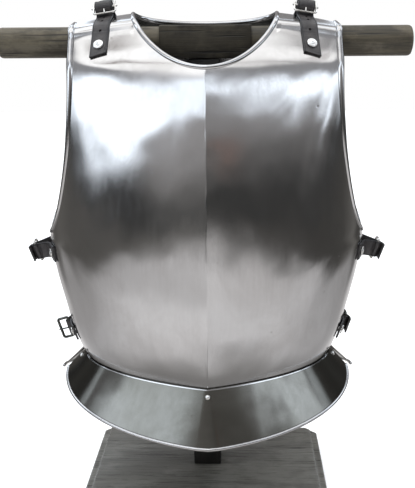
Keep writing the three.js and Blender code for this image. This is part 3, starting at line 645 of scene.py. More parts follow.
def add_bump(tree, shader, height, strength, distance):
    bump = new_node(tree, "ShaderNodeBump")
    set_inputs(bump, Strength=strength, Distance=distance)
    link(tree, height, bump.inputs["Height"])
    link(tree, bump.outputs["Normal"], shader.inputs["Normal"])


def steel_material(name, bright, dark, smoothness, grain_depth):
    material, tree, shader = new_material(name)
    place = new_node(tree, "ShaderNodeTexCoord").outputs["Object"]
    grain = place_group(tree, BRUSHED_GRAIN, place, Fineness=1.0)
    stains = place_group(tree, STAINS, place, Spread=9.0)
    streaks = remap(tree, grain.outputs["Streaks"], 0.3, 0.7)
    tone = maths(tree, "ADD", maths(tree, "MULTIPLY", stains.outputs["Clouds"], 0.78),
                 maths(tree, "MULTIPLY", streaks, 0.22))
    colour = blend_colour(tree, tone, bright, dark)
    colour = blend_colour(tree, maths(tree, "MULTIPLY", stains.outputs["Pits"], 0.55), colour,
                          (0.12, 0.1, 0.09))
    link(tree, colour, shader.inputs["Base Color"])
    shader.inputs["Metallic"].default_value = 1.0
    rough = maths(tree, "ADD", maths(tree, "MULTIPLY", streaks, 0.05),
                  maths(tree, "MULTIPLY", stains.outputs["Clouds"], 0.05))
    rough = maths(tree, "ADD", rough, smoothness)
    link(tree, maths(tree, "ADD", rough, maths(tree, "MULTIPLY", stains.outputs["Pits"], 0.2)),
         shader.inputs["Roughness"])
    height = maths(tree, "SUBTRACT", grain.outputs["Height"],
                   maths(tree, "MULTIPLY", stains.outputs["Pits"], 2.5))
    add_bump(tree, shader, height, grain_depth, 0.00025)
    return material


def buckle_material(name, bright, dark):
    material, tree, shader = new_material(name)
    place = new_node(tree, "ShaderNodeTexCoord").outputs["Object"]
    stains = place_group(tree, STAINS, place, Spread=90.0)
    link(tree, blend_colour(tree, stains.outputs["Clouds"], bright, dark),
         shader.inputs["Base Color"])
    shader.inputs["Metallic"].default_value = 1.0
    link(tree, remap(tree, stains.outputs["Clouds"], 0.0, 1.0, 0.16, 0.32), shader.inputs["Roughness"])
    add_bump(tree, shader, add_noise(tree, place, 900.0, 2.0), 0.15, 0.0002)
    return material


def rivet_material():
    material, tree, shader = new_material("rivet_metal")
    place = new_node(tree, "ShaderNodeTexCoord").outputs["Object"]
    dents = add_noise(tree, place, 380.0, 2.0)
    link(tree, blend_colour(tree, remap(tree, dents, 0.3, 0.5), (0.7, 0.69, 0.66), (0.96, 0.96, 0.94)),
         shader.inputs["Base Color"])
    shader.inputs["Metallic"].default_value = 1.0
    link(tree, remap(tree, dents, 0.3, 0.7, 0.4, 0.3), shader.inputs["Roughness"])
    add_bump(tree, shader, dents, 0.2, 0.0004)
    return material


def leather_material():
    material, tree, shader = new_material("strap_leather")
    uv = new_node(tree, "ShaderNodeUVMap", uv_map="strap").outputs["UV"]
    parts = new_node(tree, "ShaderNodeSeparateXYZ")
    link(tree, uv, parts.inputs["Vector"])
    edge = maths(tree, "ABSOLUTE", parts.outputs["X"])
    half = STRAP_WIDTH / 2 * MM
    burnish = remap(tree, edge, half - 0.0028, half - 0.0004)
    groove = maths(tree, "SUBTRACT", edge, half - 0.0021)
    groove = remap(tree, maths(tree, "ABSOLUTE", groove), 0.0, 0.00055, 1.0, 0.0)
    grain = add_noise(tree, uv, 700.0, 3.0, 0.6)
    pores = new_node(tree, "ShaderNodeTexVoronoi", feature="DISTANCE_TO_EDGE")
    pores.inputs["Scale"].default_value = 900.0
    link(tree, uv, pores.inputs["Vector"])
    creases = add_noise(tree, stretch(tree, uv, (55.0, 420.0, 1.0)), 1.0, 3.0, 0.6)
    creases = remap(tree, creases, 0.5, 0.72)
    cloud = add_noise(tree, uv, 60.0, 4.0)
    colour = blend_colour(tree, remap(tree, cloud, 0.35, 0.7), (0.022, 0.02, 0.021), (0.06, 0.054, 0.052))
    colour = blend_colour(tree, maths(tree, "MULTIPLY", creases, 0.4), colour, (0.1, 0.092, 0.088))
    colour = blend_colour(tree, burnish, colour, (0.012, 0.011, 0.012))
    link(tree, colour, shader.inputs["Base Color"])
    rough = maths(tree, "ADD", remap(tree, grain, 0.3, 0.7, 0.26, 0.44),
                  maths(tree, "MULTIPLY", creases, 0.1))
    link(tree, rough, shader.inputs["Roughness"])
    height = maths(tree, "ADD", maths(tree, "MULTIPLY", grain, 0.5),
                   maths(tree, "MULTIPLY", pores.outputs["Distance"], 0.6))
    height = maths(tree, "SUBTRACT", height, maths(tree, "MULTIPLY", creases, 0.5))
    height = maths(tree, "SUBTRACT", height, maths(tree, "MULTIPLY", groove, 1.4))
    add_bump(tree, shader, height, 0.6, 0.0004)
    return material


def wood_material(name, turn, dark, light, dusty, roughness, hub_shade=1.0):
    """Dark stained wood, its grain turned to run along the piece."""
    material, tree, shader = new_material(name)
    place = new_node(tree, "ShaderNodeTexCoord").outputs["Object"]
    turned = new_node(tree, "ShaderNodeMapping", vector_type="TEXTURE")
    turned.inputs["Rotation"].default_value = turn
    link(tree, place, turned.inputs["Vector"])
    grain = place_group(tree, WOOD_GRAIN, turned.outputs["Vector"])
    dust = remap(tree, add_noise(tree, stretch(tree, place, (14.0, 24.0, 24.0)), 1.0, 6.0, 0.65), 0.46, 0.62)
    share = maths(tree, "ADD", maths(tree, "MULTIPLY", grain.outputs["Fibres"], 0.6),
                  maths(tree, "MULTIPLY", grain.outputs["Bands"], 0.5))
    colour = blend_colour(tree, remap(tree, share, 0.35, 0.75), dark, light)
    colour = blend_colour(tree, maths(tree, "MULTIPLY", dust, 0.5), colour, dusty)
    colour = blend_colour(tree, maths(tree, "MULTIPLY", grain.outputs["Cracks"], 0.8), colour,
                          (0.012, 0.01, 0.009))
    if hub_shade < 1.0:
        across = new_node(tree, "ShaderNodeSeparateXYZ")
        link(tree, place, across.inputs["Vector"])
        end = HUB_LENGTH / 2 * MM
        hub = remap(tree, maths(tree, "ABSOLUTE", across.outputs["X"]), end - 0.0003, end + 0.0003,
                    hub_shade, 1.0)
        colour = blend_colour(tree, 1.0, colour, hub, "MULTIPLY")
    link(tree, colour, shader.inputs["Base Color"])
    link(tree, remap(tree, grain.outputs["Fibres"], 0.3, 0.7, roughness, roughness + 0.2),
         shader.inputs["Roughness"])
    height = maths(tree, "SUBTRACT", grain.outputs["Fibres"], grain.outputs["Cracks"])
    add_bump(tree, shader, height, 0.5, 0.0007)
    return material


PLATE_STEEL = steel_material("plate_steel", (0.59, 0.588, 0.59), (0.5, 0.492, 0.488), 0.09, 0.06)
SKIRT_STEEL = steel_material("skirt_steel", (0.19, 0.187, 0.172), (0.135, 0.132, 0.116), 0.07, 0.04)
BRIGHT_NICKEL = buckle_material("bright_nickel", (0.86, 0.85, 0.82), (0.62, 0.6, 0.56))
# The lower side buckles are the same nickel as the others; this darker copy paints the shade they sit in
# into their colour.
SHADED_NICKEL = buckle_material("shaded_nickel", (0.14, 0.145, 0.13), (0.03, 0.032, 0.03))
RIVET_METAL = rivet_material()
LEATHER = leather_material()
BAR_WOOD = wood_material("crossbar_wood", (0.0, 0.0, 0.0), (0.018, 0.015, 0.009), (0.085, 0.071, 0.046),
                         (0.17, 0.145, 0.1), 0.5, 0.5)
POST_WOOD = wood_material("post_wood", (0.0, -QUARTER, 0.0), (0.005, 0.0045, 0.004), (0.015, 0.013, 0.011),
                          (0.025, 0.022, 0.018), 0.5)
BASE_WOOD = wood_material("base_wood", (0.0, 0.0, STAND_TWIST), (0.095, 0.09, 0.078), (0.185, 0.175, 0.152),
                          (0.26, 0.255, 0.225), 0.24)


# Breastplate and backplate


ARM_ROLL = ((0.0, 0.0), (0.15, 0.2), (0.4, 0.8), (0.7, 2.0), (0.9, 1.9), (1.0, 0.0))
NECK_ROLL = ((0.0, 0.5), (0.6, 0.6), (0.85, 0.4), (1.0, 0.0))


def swell_at(swells, share):
    """How much a roll swells at a share of its length, from rows of share and millimetres."""
    for before, after in zip(swells, swells[1:]):
        if share <= after[0]:
            part = (share - before[0]) / (after[0] - before[0])
            return mix(before[1], after[1], part * part * (3 - 2 * part))
    return swells[-1][1]


def roll_path(half, edge, shares, swells, way):
    """The middle line and radius of an edge's roll, which swells towards the plate."""
    path = []
    last = len(shares) - 1
    for place, share in enumerate(shares):
        spot = edge(half, share)
        before = mid_wall(half, edge(half, max(share - 0.004, 0.0)))
        after = mid_wall(half, edge(half, min(share + 0.004, 1.0)))
        inward = (after - before).cross(torso_normal(half, spot.x, spot.y)).normalized() * way * half.facing
        path.append(mid_wall(half, spot) + inward * swell_at(swells, place / last))
    return path, lambda share: ROLL_RADIUS + swell_at(swells, share)


def make_plate(half, node):
    mesh = bmesh.new()

    def place(column, row, side):
        offset = column - PLATE_COLUMNS
        along = column_share(abs(offset))
        if row < FLANGE_ROWS:
            reach = FLANGE_WIDTH * (1 - row / FLANGE_ROWS)
            point = flare_point(half, QUARTER * along, reach, -PLATE_WALL * side)
        else:
            spot = plate_place(half, along, row_share(row - FLANGE_ROWS))
            point = torso_point(half, spot.x, spot.y)
            normal = torso_normal(half, spot.x, spot.y)
            calm = min(1.0, (row - FLANGE_ROWS) / 6, (PLATE_COLUMNS - abs(offset)) / 6,
                       (PLATE_ROWS + FLANGE_ROWS - row) / 10)
            wave = hammering(point if offset >= 0 else point + Vector((500.0, 0.0, 0.0)), 0.55, 62.0)
            point = point + normal * (wave * calm - PLATE_WALL * side)
        return mirrored(point) if offset < 0 else point

    add_wall(mesh, 2 * PLATE_COLUMNS, FLANGE_ROWS + PLATE_ROWS, place)

    arm_shares = [max(row_share(row), SIDE_PART + 0.003) for row in range(SIDE_ROWS, PLATE_ROWS + 1)]
    arm, arm_radius = roll_path(half, side_edge, arm_shares, ARM_ROLL, -1)
    add_bar(mesh, arm, arm_radius)
    add_bar(mesh, [mirrored(point) for point in arm], arm_radius)
    neck, neck_radius = roll_path(half, neck_edge, [place / 40 for place in range(41)], NECK_ROLL, 1)
    whole_neck = [mirrored(point) for point in neck[:0:-1]] + neck
    add_bar(mesh, whole_neck, lambda share: neck_radius(abs(2 * share - 1)))
    finish_piece(mesh, f"{node}_shell", [node], PLATE_STEEL)


def make_skirt(half, node):
    mesh = bmesh.new()
    columns = 48
    rows = 14

    def place(column, row, side):
        offset = (column - columns) / columns
        angle = abs(offset) ** 1.3 * QUARTER
        reach = mix(0.02, 1.0, row / rows) * (skirt_length(half, angle) - 2 * RIM_RADIUS)
        lift = SKIRT_GAP + (0.0 if side else PLATE_WALL)
        point = flare_point(half, angle, reach, lift)
        point = mirrored(point) if offset < 0 else point
        wave = hammering(point + Vector((0.0, 300.0, 0.0)), 0.35, 45.0)
        calm = min(1.0, row / 5, (rows - row) / 5)
        return point + Vector((0.0, half.facing * wave * calm, 0.0))

    add_wall(mesh, 2 * columns, rows, place)
    finish_piece(mesh, f"{node}_band", [node], SKIRT_STEEL)
    mesh = bmesh.new()
    rim = []
    for step in range(-60, 61):
        angle = (abs(step) / 60) ** 1.2 * QUARTER
        point = flare_point(half, angle, skirt_length(half, angle) - RIM_RADIUS, SKIRT_GAP + PLATE_WALL / 2)
        rim.append(mirrored(point) if step < 0 else point)
    add_bar(mesh, rim, RIM_RADIUS - 0.05)
    finish_piece(mesh, f"{node}_rim", [node], PLATE_STEEL)


make_plate(BREAST, "breastplate")
make_plate(BACK, "backplate")
make_skirt(BREAST, "front_skirt")
make_skirt(BACK, "back_skirt")


# Straps, buckles and rivets


def shoulder_spot(x, y):
    half = BREAST if y < 0 else BACK
    target = max(abs(y), PLATE_SEAM / 2)

    def angle_at(up):
        return math.asin(x / (CHEST_HALF_WIDTH * read_table(half.sections, "wide", up)))

    low = half.neck_share * 0.8
    high = 1.0
    for _ in range(30):
        middle = (low + high) / 2
        if abs(torso_point(half, angle_at(middle), middle).y) > target:
            low = middle
        else:
            high = middle
    point = torso_point(half, angle_at(high), high)
    point.y = y
    return point


def side_spot(height, y):
    half = BREAST if y < 0 else BACK
    target = max(abs(y), PLATE_SEAM / 2)
    up = height / TORSO_HEIGHT
    low = QUARTER / 2
    high = QUARTER
    for _ in range(30):
        middle = (low + high) / 2
        if abs(torso_point(half, middle, up).y) > target:
            low = middle
        else:
            high = middle
    point = torso_point(half, high, up)
    point.y = y
    return point


class Lay:
    """How a strap lies: spot(along, across) is a place on the plates under it. A strap that droops
    turns down as it rises from them, up to its buckle at reach."""

    def __init__(self, spot, droop=0.0, reach=1.0):
        self.spot = spot
        self.droop = droop
        self.reach = reach
        level = self.normal_at(0.0, 0.0)
        downward = (spot(0.0, 1.5) - spot(0.0, -1.5)).normalized()
        self.outward = (level + downward * droop).normalized()
        self.across = (downward - level * droop).normalized()
        self.along = self.outward.cross(self.across)

    def normal_at(self, along, across):
        step = 1.5
        ahead = self.spot(along + step, across) - self.spot(along - step, across)
        sideways = self.spot(along, across + step) - self.spot(along, across - step)
        return sideways.cross(ahead).normalized()

    def seat_at(self, along, across):
        return self.spot(along, across) + self.normal_at(along, across) * STRAP_SEAT

    def point(self, along, across, lift):
        seat = self.seat_at(along, across)
        if self.droop:
            turned = min(max(lift / self.reach, 0.0), 1.0)
            seat = seat.lerp(self.seat_at(along, 0.0) + self.across * across, turned)
        return seat + self.outward * lift


def shoulder_lay():
    return Lay(lambda along, across: shoulder_spot(
        SHOULDER_STRAP_OFFSET - SHOULDER_STRAP_LEAN * along + across, along))


def side_lay(height, droop, reach):
    return Lay(lambda along, across: side_spot(height - across, along), droop, reach)


def hardware_frame(lay, centre, tilt):
    turn = math.radians(tilt)
    forward = lay.along * math.cos(turn) + lay.outward * math.sin(turn)
    upward = lay.across.cross(forward)
    basis = Matrix((lay.across, forward, upward)).transposed().to_4x4()
    return Matrix.Translation(centre) @ basis


def add_strap_band(mesh, lay, stations, count, slant=0.0):
    """A leather band through stations of along and lift, with its own uv map in metres."""
    route = smooth_route(stations, count)
    lines = []
    for spot in route:
        sides = [lay.point(spot[0], share * STRAP_WIDTH, spot[1]) for share in (-0.5, 0.5)]
        lines.append((sides[0].lerp(sides[1], 0.5), (sides[1] - sides[0]).normalized()))
    matrices = []
    distances = [0.0]
    for place, (centre, across) in enumerate(lines):
        before = lines[max(place - 1, 0)][0]
        after = lines[min(place + 1, len(lines) - 1)][0]
        tangent = (after - before).normalized()
        across = (across - tangent * across.dot(tangent)).normalized()
        normal = across.cross(tangent)
        basis = Matrix((across, normal, tangent)).transposed().to_4x4()
        matrices.append(Matrix.Translation(centre) @ basis)
        if place:
            distances.append(distances[-1] + (centre - lines[place - 1][0]).length)
    half_width = STRAP_WIDTH / 2
    half_thick = STRAP_THICKNESS / 2
    trim = 0.55
    corners = []
    for across_way, thick_way in ((1, 1), (-1, 1), (-1, -1), (1, -1)):
        pair = [(across_way * half_width, thick_way * (half_thick - trim)),
                (across_way * (half_width - trim), thick_way * half_thick)]
        corners += pair if across_way * thick_way > 0 else pair[::-1]
    ring = [mesh.verts.new((x, y, 0.0)) for x, y in corners]
    for pair in zip(ring, ring[1:] + ring[:1]):
        mesh.edges.new(pair)
    faces = add_sweep(mesh, ring, matrices)
    uv = mesh.loops.layers.uv.get("strap") or mesh.loops.layers.uv.new("strap")
    inverses = [matrix.inverted() for matrix in matrices]
    for face in faces:
        middle = face.calc_center_median()
        near = min(range(len(matrices)), key=lambda place: (matrices[place].translation - middle).length)
        for loop in face.loops:
            picks = [place for place in (near - 1, near, near + 1) if 0 <= place < len(matrices)]
            place = min(picks, key=lambda item: abs((inverses[item] @ loop.vert.co).z))
            local = inverses[place] @ loop.vert.co
            loop[uv].uv = (local.x * MM, (distances[place] + local.z) * MM)
    if slant:
        start = matrices[0]
        for vert in {vert for face in faces for vert in face.verts}:
            reach = (inverses[0] @ vert.co).z
            if reach < SLANT_LENGTH:
                inner = 0.5 - (vert.co.x - start.translation.x) / STRAP_WIDTH
                shift = (SLANT_TRIM + slant * inner) * (1 - reach / SLANT_LENGTH)
                vert.co += start.to_3x3() @ Vector((0.0, 0.0, shift))


def cut_holes(piece, holes):
    """Punches round holes through a strap: each is a point, a direction and a radius in mm."""
    cutter_mesh = bmesh.new()
    for point, normal, radius in holes:
        turn = Vector((0.0, 0.0, 1.0)).rotation_difference(normal).to_matrix().to_4x4()
        bmesh.ops.create_cone(cutter_mesh, cap_ends=True, segments=24, radius1=radius, radius2=radius,
                              depth=9.0, matrix=Matrix.Translation(point) @ turn)
    bmesh.ops.scale(cutter_mesh, vec=(MM, MM, MM), verts=cutter_mesh.verts[:])
    data = bpy.data.meshes.new("punch")
    cutter_mesh.to_mesh(data)
    cutter_mesh.free()
    cutter = bpy.data.objects.new("punch", data)
    bpy.context.scene.collection.objects.link(cutter)
    punch = piece.modifiers.new("punch", "BOOLEAN")
    punch.operation = "DIFFERENCE"
    punch.solver = "EXACT"
    punch.object = cutter
    graph = bpy.context.evaluated_depsgraph_get()
    cut = bpy.data.meshes.new_from_object(piece.evaluated_get(graph))
    piece.modifiers.clear()
    old = piece.data
    piece.data = cut
    cut.name = old.name
    bpy.data.meshes.remove(old)
    bpy.data.objects.remove(cutter)
    bpy.data.meshes.remove(data)
    cut.set_sharp_from_angle(angle=math.radians(35))


def frame_path(half, front, rear, bow):
    """The closed wire of a buckle in its own plane, with rounded corners and a bowed rear bar."""
    corner = 2.6
    path = []
    for centre_x, centre_y, start in (
            (half - corner, front + corner, -90), (half - corner, rear - corner, 0),
            (corner - half, rear - corner, 90), (corner - half, front + corner, 180)):
        for step in range(5):
            turn = math.radians(start + step * 22.5)
            path.append(Vector((centre_x + corner * math.cos(turn),
                                centre_y + corner * math.sin(turn), 0.0)))
    rounded = []
    for point, after in zip(path, path[1:] + path[:1]):
        pieces = max(1, round((after - point).length / 1.6))
        for step in range(pieces):
            rounded.append(point.lerp(after, step / pieces))
    for point in rounded:
        if bow and point.y > rear - corner:
            share = max(0.0, 1 - (point.x / half) ** 2)
            point.y += bow * share
    return rounded


def add_buckle(mesh, matrix, route):
    half = BUCKLE_HALF
    front = min(route["front"], 0.0)
    wire = BUCKLE_WIRE / 2
    path = frame_path(half, front, route["rear"], route["bow"])
    add_bar(mesh, [matrix @ point for point in path], wire * route["wire"], closed=True)
    if front < -wire:
        reach = half + (2.2 if route["front"] < 0 else 0.0)
        heel = [Vector((reach * share, 0.0, 0.0)) for share in (-0.96, -0.5, 0.0, 0.5, 0.96)]
        add_bar(mesh, [matrix @ point for point in heel], wire * 0.95)


def add_tongue(mesh, matrix, reach):
    wire = TONGUE_WIRE / 2
    way = math.copysign(1.0, reach)
    ring_radius = HEEL_RADIUS + SEAT_GAP + wire
    collar = []
    for step in range(16):
        turn = 2 * math.pi * step / 16
        collar.append(Vector((0.0, ring_radius * math.cos(turn), ring_radius * math.sin(turn))))
    add_bar(mesh, [matrix @ point for point in collar], wire, sides=10, closed=True)
    rest = BUCKLE_WIRE / 2 + wire + 0.1
    spine = smooth_route([(0.0, 0.0, ring_radius), (0.0, reach * 0.35, ring_radius + 0.1),
                          (0.0, reach * 0.75, mix(ring_radius, rest, 0.6)), (0.0, reach, rest),
                          (0.0, reach + way * 2.0, rest - 0.5)], 16)
    add_bar(mesh, [matrix @ point for point in spine],
            lambda share: wire * mix(1.0, 0.7, share ** 2), sides=10)


def rivet_profile(grip, head_radius, head_height, washer):
    """A rivet's outline from its inner head to the crown of its outer one."""
    inner = -grip - INNER_HEAD_GAP
    profile = [(0.0, inner - 1.4), (SHANK_RADIUS + 0.9, inner - 1.4), (SHANK_RADIUS + 1.2, inner - 1.1),
               (SHANK_RADIUS + 1.2, inner), (SHANK_RADIUS, inner), (SHANK_RADIUS, SEAT_GAP)]
    base = SEAT_GAP
    if washer:
        top = SEAT_GAP + WASHER_THICKNESS
        profile += [(WASHER_RADIUS - 0.3, SEAT_GAP), (WASHER_RADIUS, SEAT_GAP + 0.3),
                    (WASHER_RADIUS - 0.05, SEAT_GAP + 0.75), (WASHER_RADIUS - 0.5, top - 0.25),
                    (WASHER_RADIUS - 1.3, top), (head_radius + 0.2, top - 0.1), (head_radius, top)]
        base = top
    else:
        profile += [(head_radius - 0.15, SEAT_GAP), (head_radius, SEAT_GAP + 0.2)]
    for degrees in (15, 32, 50):
        turn = math.radians(degrees)
        profile.append((head_radius * math.cos(turn), base + head_height * math.sin(turn)))
    if washer:
        profile += [(1.3, base + head_height * 0.9), (0.95, base + 0.1), (0.0, base - 0.2)]
    else:
        profile.append((0.0, base + head_height))
    return profile


def stand_on(point, normal):
    turn = Vector((0.0, 0.0, 1.0)).rotation_difference(normal).to_matrix().to_4x4()
    return Matrix.Translation(point) @ turn


def add_rivet(mesh, point, normal, profile, dent):
    verts = add_turned(mesh, profile, stand_on(point, normal), steps=32)
    for vert in verts:
        offset = vert.co - point
        if offset.dot(normal) > SEAT_GAP + 0.4:
            vert.co += normal * dent * noise.noise(vert.co * 0.9)


def make_sides(name, sides, build, material, holes=()):
    for side in sides:
        mesh = bmesh.new()
        build(mesh)
        if side == "left":
            flip_to_left(mesh)
        piece = finish_piece(mesh, f"{name}_{side}_piece", [f"{name}_{side}"], material)
        if holes:
            punched = holes
            if side == "left":
                punched = [(mirrored(point), mirrored(normal), radius) for point, normal, radius in holes]
            cut_holes(piece, punched)


def fold_round(heel, start, turn, layers):
    """Stations that carry a strap's end round the heel bar, as along and lift."""
    radius = HEEL_RADIUS + SEAT_GAP + STRAP_THICKNESS / 2
    stations = []
    for step in range(layers + 1):
        angle = math.radians(start + turn * step / layers)
        stations.append((heel[0] + radius * math.cos(angle),
                         heel[1] - STRAP_SEAT + radius * math.sin(angle), 0.0))
    return stations


def make_strap(name, lay, route, metal, sides=("right", "left")):
    heel = lay.point(route["heel"][0], 0.0, route["heel"][1] - STRAP_SEAT)
    matrix = hardware_frame(lay, heel, route["tilt"])
    chape = [station + (0.0,) for station in route["chape"]] + fold_round(route["heel"], *route["fold"])
    strap = [station + (0.0,) for station in route["strap"]]
    make_sides(f"{name}_buckle_strap", sides, lambda mesh: add_strap_band(mesh, lay, chape, 60),
               LEATHER)
    holes = [(lay.point(along, 0.0, 0.0), lay.normal_at(along, 0.0), STRAP_HOLE / 2)
             for along in route["holes"]]
    make_sides(f"{name}_holed_strap", sides,
               lambda mesh: add_strap_band(mesh, lay, strap, 84, route["slant"]),
               LEATHER, holes)
    make_sides(f"{name}_buckle", sides, lambda mesh: add_buckle(mesh, matrix, route), metal)
    make_sides(f"{name}_tongue", sides, lambda mesh: add_tongue(mesh, matrix, route["tongue"]),
               metal)
    grip = PLATE_WALL + STRAP_THICKNESS + STRAP_GAP + 2 * SEAT_GAP
    profile = rivet_profile(grip, 2.6, 0.9, True)
    for end, along in (("buckle_strap", route["chape_rivet"]), ("holed_strap", route["strap_rivet"])):
        normal = lay.normal_at(along, 0.0)
        seat = lay.point(along, 0.0, 0.0) + normal * (STRAP_THICKNESS / 2 + SEAT_GAP)
        make_sides(f"{name}_{end}_rivet", sides,
                   lambda mesh, seat=seat, normal=normal: add_rivet(mesh, seat, normal, profile, 0.35),
                   RIVET_METAL)


make_strap("shoulder", shoulder_lay(), {
    "heel": (-1.0, SHOULDER_BUCKLE_RISE),
    "tilt": SHOULDER_BUCKLE_TILT,
    "front": -11.2,
    "rear": 11.0,
    "bow": 4.0,
    "tongue": -11.2,
    "fold": (-60, -290, 12),
    "chape": [(54.0, 0.0), (SHOULDER_RIVET_PLACE, 0.0), (34.0, 0.0), (19.0, 0.0), (10.0, 1.6), (4.5, 5.0)],
    "chape_rivet": SHOULDER_RIVET_PLACE,
    "strap": [(-57.0, 0.0), (-40.0, 0.0), (-24.0, 0.0), (-13.0, 0.0), (-8.3, 0.1), (-5.1, 2.3), (-6.1, 6.2),
              (-7.9, 10.7), (-6.0, 15.5), (-0.5, 17.7), (4.4, 14.9), (7.0, 10.4), (12.0, 7.2)],
    "strap_rivet": -SHOULDER_RIVET_PLACE,
    "slant": 5.0,
    "wire": 0.85,
    "holes": (-34.0, -23.5, -13.5),
}, BRIGHT_NICKEL)


def buckled_route(reach, spread):
    """A side strap that is buckled: spread moves its ends apart along the plates."""
    return {
        "heel": (-4.0, reach),
        "tilt": 0.0,
        "front": 0.0,
        "rear": 15.0,
        "bow": 0.0,
        "tongue": 15.0,
        "fold": (-125, -270, 12),
        "chape": [(-42.0 - spread, 0.0), (-33.0 - spread, 0.0), (-28.0 - spread, 0.0),
                  (-18.0 - spread, 0.02 * reach), (-12.0 - 0.6 * spread, 0.25 * reach),
                  (-8.5 - 0.3 * spread, 0.6 * reach)],
        "chape_rivet": -SIDE_RIVET_PLACE - spread,
        "strap": [(42.0 + spread, 0.0), (28.0 + spread, 0.0), (17.0 + spread, 0.0),
                  (12.5 + 0.6 * spread, 0.17 * reach), (9.0 + 0.3 * spread, 0.45 * reach),
                  (6.6, reach - 1.8), (5.0, reach + 1.8), (0.5, reach + 5.0), (-6.0, reach + 6.0),
                  (-13.0, reach + 5.0)],
        "strap_rivet": SIDE_RIVET_PLACE + spread,
        "slant": 0.0,
        "wire": 1.0,
        "holes": (),
    }


def close_route(reach):
    """A side strap that is close to the plates."""
    return {
        **buckled_route(reach, 0.0),
        "wire": 1.25,
        "fold": (-90, -270, 12),
        "chape": [(-42.0, 0.4), (-28.0, 0.4), (-18.0, 0.3), (-10.0, 0.1)],
        "strap": [(42.0, 0.5), (28.0, 0.5), (18.0, 0.4), (13.0, 0.2), (9.6, 0.7), (6.8, 3.2), (5.0, 7.0),
                  (0.8, 10.4), (-6.0, 11.3), (-13.0, 10.6)],
    }


def open_route(reach):
    """A side strap that is undone: its buckle stands out from the plates and faces forward."""
    return {
        **close_route(reach),
        "heel": (-12.0, reach),
        "tilt": 80.0,
        "chape": [(-42.0, 0.4), (-28.0, 0.4), (-22.0, 0.3), (-17.0, 0.1)],
        "strap": [(42.0, 0.5), (28.0, 0.5), (14.0, 0.4), (5.0, 1.2), (-2.0, 5.0)],
    }


SLEEVE_RADIUS = HEEL_RADIUS + SEAT_GAP + STRAP_THICKNESS
make_strap("upper_side", side_lay(UPPER_STRAP_HEIGHT, UPPER_STRAP_DROOP, UPPER_STRAP_REACH - SLEEVE_RADIUS),
           buckled_route(UPPER_STRAP_REACH, UPPER_STRAP_SPREAD), BRIGHT_NICKEL)
lower_lay = side_lay(LOWER_STRAP_HEIGHT, 0.0, LOWER_STRAP_REACH)
# The lower buckles take the nickel with painted shade.
make_strap("lower_side", lower_lay, close_route(LOWER_STRAP_REACH), SHADED_NICKEL, ("right",))
make_strap("lower_side", lower_lay, open_route(LOWER_STRAP_REACH), SHADED_NICKEL, ("left",))


def make_skirt_rivets(half, prefix):
    profile = rivet_profile(2 * PLATE_WALL + SKIRT_GAP + SEAT_GAP, SKIRT_RIVET_RADIUS, 2.0, False)
    for place, angle, flip in (("centre", 0.0, False), ("right", QUARTER * 0.93, False),
                               ("left", QUARTER * 0.93, True)):
        point = flare_point(half, angle, SKIRT_RIVET_REACH, SKIRT_GAP + PLATE_WALL)
        normal = (point - flare_point(half, angle, SKIRT_RIVET_REACH, 0.0)).normalized()
        mesh = bmesh.new()
        add_rivet(mesh, point, normal, profile, 0.1)
        if flip:
            flip_to_left(mesh)
        node = f"{prefix}_skirt_rivet_{place}"
        finish_piece(mesh, f"{node}_piece", [node], RIVET_METAL)


make_skirt_rivets(BREAST, "front")
make_skirt_rivets(BACK, "back")


# Stand

roll_height = mid_wall(BREAST, side_edge(BREAST, 1.0)).z
CROSSBAR_HEIGHT = roll_height - ROLL_RADIUS - 2 * SEAT_GAP - CROSSBAR_RADIUS


def bevel(mesh, edges, width, segments, clamp=False):
    return bmesh.ops.bevel(mesh, geom=edges, offset=width, offset_type="OFFSET", affect="EDGES",
                           segments=segments, profile=0.5, material=-1, clamp_overlap=clamp)["verts"]


def make_crossbar():
    mesh = bmesh.new()
    half = CROSSBAR_LENGTH / 2
    profile = [(0.0, -half), (CROSSBAR_RADIUS - 4.0, -half), (CROSSBAR_RADIUS - 1.6, -half + 0.9),
               (CROSSBAR_RADIUS - 0.4, -half + 2.6), (CROSSBAR_RADIUS, -half + 5.0)]
    for step in range(1, 40):
        profile.append((CROSSBAR_RADIUS, mix(-half + 5.0, half - 5.0, step / 40)))
    profile += [(CROSSBAR_RADIUS, half - 5.0), (CROSSBAR_RADIUS - 0.4, half - 2.6),
                (CROSSBAR_RADIUS - 1.6, half - 0.9), (CROSSBAR_RADIUS - 4.0, half), (0.0, half)]
    across = Matrix.Translation((0.0, 0.0, CROSSBAR_HEIGHT)) @ Matrix.Rotation(QUARTER, 4, "Y")
    add_turned(mesh, profile, across, steps=64)
    hub = bmesh.ops.create_cube(mesh, size=1.0)["verts"]
    bmesh.ops.scale(mesh, vec=(HUB_LENGTH, HUB_SIDE, HUB_SIDE), verts=hub)
    edges = list({edge for vert in hub for edge in vert.link_edges})
    bmesh.ops.translate(mesh, vec=(0.0, 0.0, CROSSBAR_HEIGHT), verts=bevel(mesh, edges, 1.6, 3))
    finish_piece(mesh, "crossbar_wood", ["crossbar"], BAR_WOOD)


def make_post():
    mesh = bmesh.new()
    top = CROSSBAR_HEIGHT - HUB_SIDE / 2 - SEAT_GAP
    bottom = BASE_THICKNESS + SEAT_GAP
    verts = bmesh.ops.create_cube(mesh, size=1.0)["verts"]
    bmesh.ops.scale(mesh, vec=(POST_SIDE, POST_SIDE, top - bottom), verts=verts)
    bevel(mesh, mesh.edges[:], 2.0, 3)
    bmesh.ops.translate(mesh, vec=(0.0, 0.0, (top + bottom) / 2), verts=mesh.verts[:])
    bmesh.ops.rotate(mesh, cent=(0, 0, 0), matrix=Matrix.Rotation(STAND_TWIST, 3, "Z"), verts=mesh.verts[:])
    finish_piece(mesh, "post_wood", ["post"], POST_WOOD)


